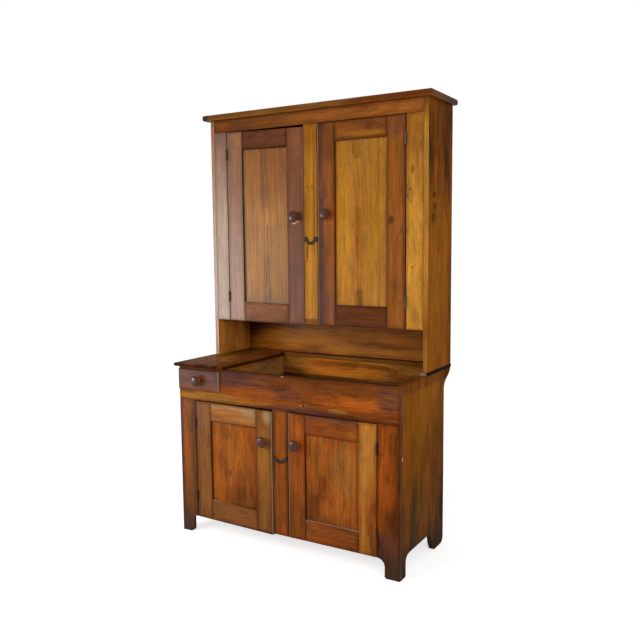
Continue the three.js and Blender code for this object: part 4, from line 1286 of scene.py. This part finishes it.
def knob_master(radius, reach):
    """A turned knob at the origin that stands out towards the front, from a disc drawn out ring by ring."""
    deselect()
    bpy.ops.mesh.primitive_circle_add(
        vertices=KNOB_SIDES, radius=radius * NECK_SHARE, fill_type="NGON", rotation=TURNED_TO_FRONT
    )
    piece = opened()
    bpy.ops.mesh.select_all(action="SELECT")
    place, width = 0.0, NECK_SHARE
    for share_out, share in KNOB_PROFILE:
        grown = share / width
        draw_out((0, (place - share_out) * reach, 0), (grown, 1, grown), (0, -share_out * reach, 0))
        place, width = share_out, share
    bpy.ops.mesh.select_all(action="SELECT")
    bpy.ops.mesh.normals_make_consistent(inside=False)
    close_edit()
    smooth(piece, degrees=50)
    return piece


def knob_material(row, root, reach):
    """Dark polished wood with an orange neck: lighter worn wood with painted light on it. The root is where
    the neck meets the face of the door.
    """
    material, tree, shader = new_material(f"{row}_knob_wood")
    source = object_place(tree)
    streaks = noise(source, "turned")
    spots = noise(source, "polish")
    wood = blend_colour(fade(streaks, "knob_streak"), shaded("knob"), shaded("dark_red", 0.6))
    wood = blend_colour(fade(spots, "knob_bloom"), wood, shaded("plum", 0.9))
    # The neck is painted bright orange: its worn wood and the painted light that it catches
    neck_wear_and_light = step(split(source)[1], root - reach * NECK_WEAR_AND_LIGHT_FADE[1], root - reach * NECK_WEAR_AND_LIGHT_FADE[0])
    feed(shader, {
        "Base Color": blend_colour(neck_wear_and_light, wood, shaded("orange", 1.5)),
        "Roughness": fade(spots, "knob_rough"), "Normal": bumped(streaks, *KNOB_RELIEF),
        "Specular IOR Level": 0.16, "Coat Weight": 0.06, "Coat Roughness": 0.12,
    })
    return material


BUTTON_THICKNESS = 0.004
BUTTON_STAND_OFF = 0.002
BUTTON_ROUNDING = 0.22
BOSS_RADIUS = 0.007
# How long the first slice of the casting is, from which the others are drawn out
BUTTON_START = 0.001
SCREW_SIDES = 28
SCREW_RADIUS = 0.005
SCREW_RISE = 0.0022
SCREW_ROUNDING = 0.45
SLOT_DEPTH = 0.4
BUTTON_ARM = {"upper": 0.030, "lower": 0.033}
BUTTON_HALF_WIDTH = {"upper": 0.0072, "lower": 0.0078}
BUTTON_HEAD_HALF_LENGTH = {"upper": 0.0095, "lower": 0.007}
BUTTON_HEAD_HALF_WIDTH = {"upper": 0.0125, "lower": 0.0098}
BUTTON_TILT = {"upper": math.radians(42), "lower": math.radians(29)}


def button_stations(row):
    """Places along a turn button's arm from its screw, with the half width of the casting at each."""
    boss, arm, head = BOSS_RADIUS, BUTTON_ARM[row], BUTTON_HEAD_HALF_LENGTH[row]
    narrow, wide = BUTTON_HALF_WIDTH[row], BUTTON_HEAD_HALF_WIDTH[row]
    return (
        (-boss * 0.9, boss * 0.4), (-boss * 0.5, boss * 0.95), (0.0, boss * 1.06), (boss * 0.6, boss * 0.95),
        (boss * 1.2, narrow), (arm - head * 1.3, narrow * 1.05), (arm - head * 0.7, wide * 0.9),
        (arm, wide * 1.08), (arm + head * 0.6, wide * 0.9), (arm + head, wide * 0.45),
    )


def button_arm(row):
    """The casting of a turn button at the origin, its arm along +X and its back at y 0."""
    stations = button_stations(row)
    place, width = stations[0]
    piece = open_box(Vector((place - BUTTON_START, -BUTTON_THICKNESS, -width)), Vector((place, 0, width)))
    pick(piece, "FACE", lambda face: face.normal.x > FACING)
    for station, half in stations[1:]:
        middle = (station, -BUTTON_THICKNESS / 2, 0)
        draw_out((station - place, 0, 0), (1, 1, half / width), middle)
        place, width = station, half
    bpy.ops.mesh.select_all(action="SELECT")
    bpy.ops.mesh.bevel(offset=BUTTON_THICKNESS * BUTTON_ROUNDING, segments=1, affect="EDGES")
    close_edit()
    rounded = piece.modifiers.new("cast", "SUBSURF")
    rounded.levels = rounded.render_levels = 2
    bpy.ops.object.modifier_apply(modifier=rounded.name)
    smooth(piece, degrees=60)
    return piece


def screw_head(radius, height):
    """A slotted screw head at the origin that faces the front."""
    half_slot = sizes().slot
    deselect()
    bpy.ops.mesh.primitive_cylinder_add(
        vertices=SCREW_SIDES, radius=radius, depth=height, location=(0, -height / 2, 0),
        rotation=TURNED_TO_FRONT,
    )
    piece = opened()
    pick(piece, "EDGE", lambda edge: all(abs(vertex.co.y + height) < TOUCH for vertex in edge.verts))
    bpy.ops.mesh.bevel(offset=height * SCREW_ROUNDING, segments=3, affect="EDGES")
    for side in (-half_slot, half_slot):
        slice_at((0, 0, side), AXES[2])

    def in_slot(face):
        return face.normal.y < -SLANTING and abs(face.calc_center_median().z) < half_slot

    pick(piece, "FACE", in_slot)
    extrude((0, height * SLOT_DEPTH, 0))
    close_edit()
    smooth(piece, degrees=40)
    return piece


# Operators

class CUPBOARD_OT_boards(bpy.types.Operator):
    """Gives the boards of the case, the well, the tops, the drawer and the panels their aged wood"""

    bl_idname = "cupboard.boards"
    bl_label = "Boards"

    def execute(self, context):
        for name, finish in BOARDS.items():
            dress_board(name, finish)
        return {"FINISHED"}


class CUPBOARD_OT_door_frames(bpy.types.Operator):
    """Builds the stiles and rails of the four doors, grooved for their panels"""

    bl_idname = "cupboard.door_frames"
    bl_label = "Door frames"

    def execute(self, context):
        for row, side in DOORS:
            door_frame(f"{row}_{side}_door")
        return {"FINISHED"}


class CUPBOARD_OT_knobs(bpy.types.Operator):
    """Turns the five wooden knobs"""

    bl_idname = "cupboard.knobs"
    bl_label = "Knobs"

    def execute(self, context):
        owners = {f"{row}_{side}_knob": f"{row}_{side}_door" for row, side in DOORS}
        owners["drawer_knob"] = "drawer"
        low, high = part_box("drawer_knob")
        reach = high.y - low.y
        master = knob_master((high.x - low.x) / 2, reach)
        materials = {}
        for node, body in owners.items():
            low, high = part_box(node)
            middle = (low + high) / 2
            row = node.split("_")[0]
            if row not in materials:
                materials[row] = knob_material(row, high.y, reach)
            piece = copied(master, node + "_turned")
            place_piece(piece, (middle.x, high.y, middle.z))
            finish_piece(piece, node + "_turned", body, [materials[row]])
            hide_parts(node)
        bpy.data.objects.remove(master)
        return {"FINISHED"}


class CUPBOARD_OT_turn_buttons(bpy.types.Operator):
    """Casts the four iron turn buttons and drives their screws"""

    bl_idname = "cupboard.turn_buttons"
    bl_label = "Turn buttons"

    def execute(self, context):
        for row, side in DOORS:
            self.button(row, side)
        return {"FINISHED"}

    def button(self, row, side):
        node = f"{row}_{side}_button"
        body = f"{row}_{side}_turn_button"
        pivot = next(joint["pos_m"] for joint in frame["joints"] if joint["child"] == body)
        angle = BUTTON_TILT[row] if side == "right" else math.pi - BUTTON_TILT[row]
        casting = place_piece(button_arm(row), (0, -BUTTON_STAND_OFF, 0))
        screw = screw_head(SCREW_RADIUS, BUTTON_STAND_OFF + BUTTON_THICKNESS + SCREW_RISE)
        piece = place_piece(joined([casting, screw]), pivot, (0, -angle, 0))
        finish_piece(piece, node + "_casting", body, [black_iron()])
        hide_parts(node)


LEAF_INSET = 0.003
LEAF_ARRIS = 0.0003
LEAF_SCREW_RISE = 0.0003
LEAF_SCREW_SHARES = (0.2, 0.5, 0.8)
LEAF_SCREW_DEPTH = 0.55


class CUPBOARD_OT_hinges(bpy.types.Operator):
    """Gives the hinge barrels their iron and lets a screwed leaf into the edge of each door"""

    bl_idname = "cupboard.hinges"
    bl_label = "Hinges"

    def execute(self, context):
        for row, side in DOORS:
            for end in ("high", "low"):
                self.hinge(row, side, end)
        return {"FINISHED"}

    def hinge(self, row, side, end):
        node = f"{row}_{side}_{end}_hinge"
        frame["nodes"][node].material_slots[0].material = hinge_iron(row)
        low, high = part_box(node)
        shape = DoorShape(f"{row}_{side}_door")
        face = shape.hinge - shape.toward * sizes().leaf
        left, right = sorted((shape.hinge, face))
        leaf_low = Vector((left, low.y + (high.x - low.x) / 2, low.z + LEAF_INSET))
        leaf_high = Vector((right, high.y, high.z - LEAF_INSET))
        leaf = open_box(leaf_low, leaf_high)
        bevel_hull(leaf, leaf_low, leaf_high, LEAF_ARRIS, 1)
        close_edit()
        parts = [leaf]
        master = screw_head(sizes().screw, LEAF_SCREW_RISE)
        depth = shape.low.y + (high.y - shape.low.y) * LEAF_SCREW_DEPTH
        for share in LEAF_SCREW_SHARES:
            height = leaf_low.z + (leaf_high.z - leaf_low.z) * share
            turn = (0, 0, -shape.toward * math.pi / 2)
            parts.append(place_piece(copied(master, "screw"), (face, depth, height), turn))
        bpy.data.objects.remove(master)
        finish_piece(joined(parts), node + "_leaf", f"{row}_{side}_door", [hinge_iron(row)])


BACK_BOARD_SHARES = (0.19, 0.22, 0.17, 0.23, 0.19)


def back_boards(node):
    """The low and high corners of each board of a back."""
    low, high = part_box(node)
    start = low.x
    for share in BACK_BOARD_SHARES:
        end = start + (high.x - low.x) * share
        yield Vector((start, low.y, low.z)), Vector((end, high.y, high.z))
        start = end


class CUPBOARD_OT_backs(bpy.types.Operator):
    """Boards up the backs of both cupboards with rough vertical boards"""

    bl_idname = "cupboard.backs"
    bl_label = "Backs"

    def execute(self, context):
        for node in ("upper_back", "lower_back"):
            for number, (low, high) in enumerate(back_boards(node), start=1):
                self.board(node, number, low, high)
        return {"FINISHED"}

    def board(self, node, number, low, high):
        """One rough board, in a shade and with rings unlike those of the boards beside it."""
        name = f"{node}_board_{number}"
        high.x -= sizes().board_gap
        piece = open_box(low, high)
        bevel_hull(piece, low, high, sizes().arris)
        close_edit()
        finish = look(
            "grey", 0.9 + 0.05 * (number % 3), "bare", 0.5, contrast=1.1, ring=0.007, rough=0.8, shine=0.1,
            offset=0.02 * (number - 3), depth=0.01 * number,
        )
        finish_piece(piece, name, "case", [pine_material(name + "_wood", low, high, finish, 0.0)])
        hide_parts(node)


BACK_NAIL_LEVELS = {"upper_back": (0.02, 0.35, 0.67, 0.98), "lower_back": (0.03, 0.97)}
BOARD_NAIL_SHARES = (0.15, 0.85)
SHELF_NAIL_SHARES = (0.12, 0.5, 0.88)
NAIL_TWIST = 0.3
NAIL_TAPER = 0.6
TOP_NAIL_DROP = 0.03


class CUPBOARD_OT_nails(bpy.types.Operator):
    """Drives cut nails through the backs and through the sides into the shelves"""

    bl_idname = "cupboard.nails"
    bl_label = "Nails"

    def execute(self, context):
        master = self.head()
        spots = [*self.back_nails(), *self.side_nails()]
        heads = [place_piece(copied(master, "nail"), spot, turn) for spot, turn in spots]
        bpy.data.objects.remove(master)
        finish_piece(joined(heads), "case_nails", "case", [black_iron()])
        return {"FINISHED"}

    def head(self):
        """The head of a cut nail at the origin, its face towards the back."""
        half, rise = sizes().nail, sizes().nail_rise
        piece = open_box(Vector((-half, -rise, -half)), Vector((half, rise, half)))
        pick(piece, "FACE", lambda face: face.normal.y > FACING)
        bpy.ops.transform.resize(value=(NAIL_TAPER, 1, NAIL_TAPER))
        close_edit()
        return piece

    def back_nails(self):
        """The places and turns of the nails in the backs, with one in the middle near the top."""
        low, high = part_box("upper_back")
        yield ((low.x + high.x) / 2, high.y, high.z - TOP_NAIL_DROP), (0, 0, 0)
        for node, levels in BACK_NAIL_LEVELS.items():
            for low, high in back_boards(node):
                for level, across in product(levels, BOARD_NAIL_SHARES):
                    spot = (low.x + (high.x - low.x) * across, high.y, low.z + (high.z - low.z) * level)
                    yield spot, (0, NAIL_TWIST * (across - level), 0)

    def side_nails(self):
        """The places and turns of the nails that hold the shelves."""
        for shelf in ("upper_bottom_board", "upper_low_shelf", "upper_high_shelf"):
            low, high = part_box(shelf)
            height = (low.z + high.z) / 2
            for side, end, turn in (("left", 0, math.pi / 2), ("right", 1, -math.pi / 2)):
                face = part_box(f"upper_{side}_side")[end].x
                for share in SHELF_NAIL_SHARES:
                    yield (face, low.y + (high.y - low.y) * share, height), (0, 0, turn)


# Stage: camera, lights, floor and background

CAMERA_PLACE = Vector((1.87006, -3.04439, 1.45887))
CAMERA_YAW = math.radians(30.734)
CAMERA_PITCH = math.radians(5.946)
CAMERA_ROLL = math.radians(-0.525)
CAMERA_LENS = 41.02
SENSOR_WIDTH = 36.0
# Each lamp's place, the side of its square, its power in watts and the point that it shines at
LAMPS = {
    "key": ((-2.0, -3.8, 2.4), 2.4, 92.0, (0.0, 0.0, 1.0)),
    "fill": ((3.4, -2.6, 2.0), 2.0, 42.0, (0.2, 0.0, 1.0)),
    "window": ((-3.35, -3.05, 0.92), 1.1, 120.0, (-0.45, 0.0, 1.35)),
}
WHITE = (1.0, 1.0, 1.0, 1.0)
FLOOR_SIZE = 14
FLOOR_GLOW = 0.68
BACKGROUND_SEEN = 1.0
BACKGROUND_LIGHT = 0.42


def seen_directly(tree):
    """1 for a ray from the camera, or one that is mirrored or let through."""
    path = tree.nodes.new("ShaderNodeLightPath").outputs
    kinds = ("Camera", "Glossy", "Transmission")
    camera, mirrored, through = (Signal(path[f"Is {kind} Ray"]) for kind in kinds)
    return calculate("MAXIMUM", calculate("MAXIMUM", camera, mirrored), through)


class CUPBOARD_OT_stage(bpy.types.Operator):
    """Sets up the camera, the soft studio lights and the pale floor and background"""

    bl_idname = "cupboard.stage"
    bl_label = "Stage"

    def execute(self, context):
        self.camera(context)
        for name, lamp in LAMPS.items():
            self.light(name, *lamp)
        self.floor()
        self.world(context)
        return {"FINISHED"}

    def camera(self, context):
        data = bpy.data.cameras.new("camera")
        data.lens = CAMERA_LENS
        data.sensor_width = SENSOR_WIDTH
        camera = bpy.data.objects.new("camera", data)
        context.scene.collection.objects.link(camera)
        yaw = Matrix.Rotation(CAMERA_YAW, 4, "Z")
        pitch = Matrix.Rotation(math.pi / 2 - CAMERA_PITCH, 4, "X")
        roll = Matrix.Rotation(CAMERA_ROLL, 4, "Z")
        camera.matrix_world = Matrix.Translation(CAMERA_PLACE) @ yaw @ pitch @ roll
        context.scene.camera = camera

    def light(self, name, place, side, watts, aim):
        """A square lamp. Only the window shows as a gleam in the wax, and it lights nothing else."""
        data = bpy.data.lights.new(name, "AREA")
        data.shape = "SQUARE"
        data.size = side
        data.energy = watts
        lamp = bpy.data.objects.new(name, data)
        bpy.context.scene.collection.objects.link(lamp)
        lamp.location = place
        lamp.rotation_euler = (Vector(aim) - Vector(place)).to_track_quat("-Z", "Y").to_euler()
        lamp.visible_camera = False
        lamp.visible_glossy = name == "window"
        lamp.visible_diffuse = name != "window"

    def floor(self):
        deselect()
        bpy.ops.mesh.primitive_plane_add(size=FLOOR_SIZE)
        floor = bpy.context.object
        floor.name = "floor"
        material, tree, _ = new_material("floor")
        tree.nodes.clear()
        plain = first_output(tree, "BsdfDiffuse", {"Color": shaded("floor")})
        glow = first_output(tree, "Emission", {"Color": WHITE, "Strength": FLOOR_GLOW})
        both = first_output(tree, "AddShader", {0: plain, 1: glow})
        surface = first_output(tree, "MixShader", {0: seen_directly(tree), 1: plain, 2: both})
        feed(tree.nodes.new("ShaderNodeOutputMaterial"), {"Surface": surface})
        floor.data.materials.append(material)

    def world(self, context):
        world = bpy.data.worlds.new("studio")
        context.scene.world = world
        world.use_nodes = True
        tree = world.node_tree
        tree.nodes.clear()
        seen = first_output(tree, "Background", {"Color": WHITE, "Strength": BACKGROUND_SEEN})
        soft = first_output(tree, "Background", {"Color": WHITE, "Strength": BACKGROUND_LIGHT})
        surface = first_output(tree, "MixShader", {0: seen_directly(tree), 1: soft, 2: seen})
        feed(tree.nodes.new("ShaderNodeOutputWorld"), {"Surface": surface})
        context.scene.view_settings.view_transform = "Standard"


OPERATORS = (
    CUPBOARD_OT_stage, CUPBOARD_OT_boards, CUPBOARD_OT_door_frames, CUPBOARD_OT_knobs,
    CUPBOARD_OT_turn_buttons, CUPBOARD_OT_hinges, CUPBOARD_OT_backs, CUPBOARD_OT_nails,
)


class CUPBOARD_PT_panel(bpy.types.Panel):
    """Lists the pieces of the cupboard and their sizes and colours"""

    bl_idname = "CUPBOARD_PT_panel"
    bl_label = "Dry sink cupboard"
    bl_space_type = "VIEW_3D"
    bl_region_type = "UI"
    bl_category = "Cupboard"

    def draw(self, context):
        for operator in OPERATORS:
            self.layout.operator(operator.bl_idname)
        for group in (context.scene.cupboard_sizes, context.scene.cupboard_colours):
            for name in group.bl_rna.properties.keys():
                if name not in ("rna_type", "name"):
                    self.layout.prop(group, name)


CLASSES = (CupboardSizes, CupboardColours, *OPERATORS, CUPBOARD_PT_panel)


def register():
    for item in CLASSES:
        bpy.utils.register_class(item)
    bpy.types.Scene.cupboard_sizes = PointerProperty(type=CupboardSizes)
    bpy.types.Scene.cupboard_colours = PointerProperty(type=CupboardColours)


def unregister():
    del bpy.types.Scene.cupboard_colours
    del bpy.types.Scene.cupboard_sizes
    for item in reversed(CLASSES):
        bpy.utils.unregister_class(item)


def main():
    register()
    bpy.ops.cupboard.stage()
    bpy.ops.cupboard.boards()
    bpy.ops.cupboard.door_frames()
    bpy.ops.cupboard.knobs()
    bpy.ops.cupboard.turn_buttons()
    bpy.ops.cupboard.hinges()
    bpy.ops.cupboard.backs()
    bpy.ops.cupboard.nails()


if __name__ == "__main__":
    main()
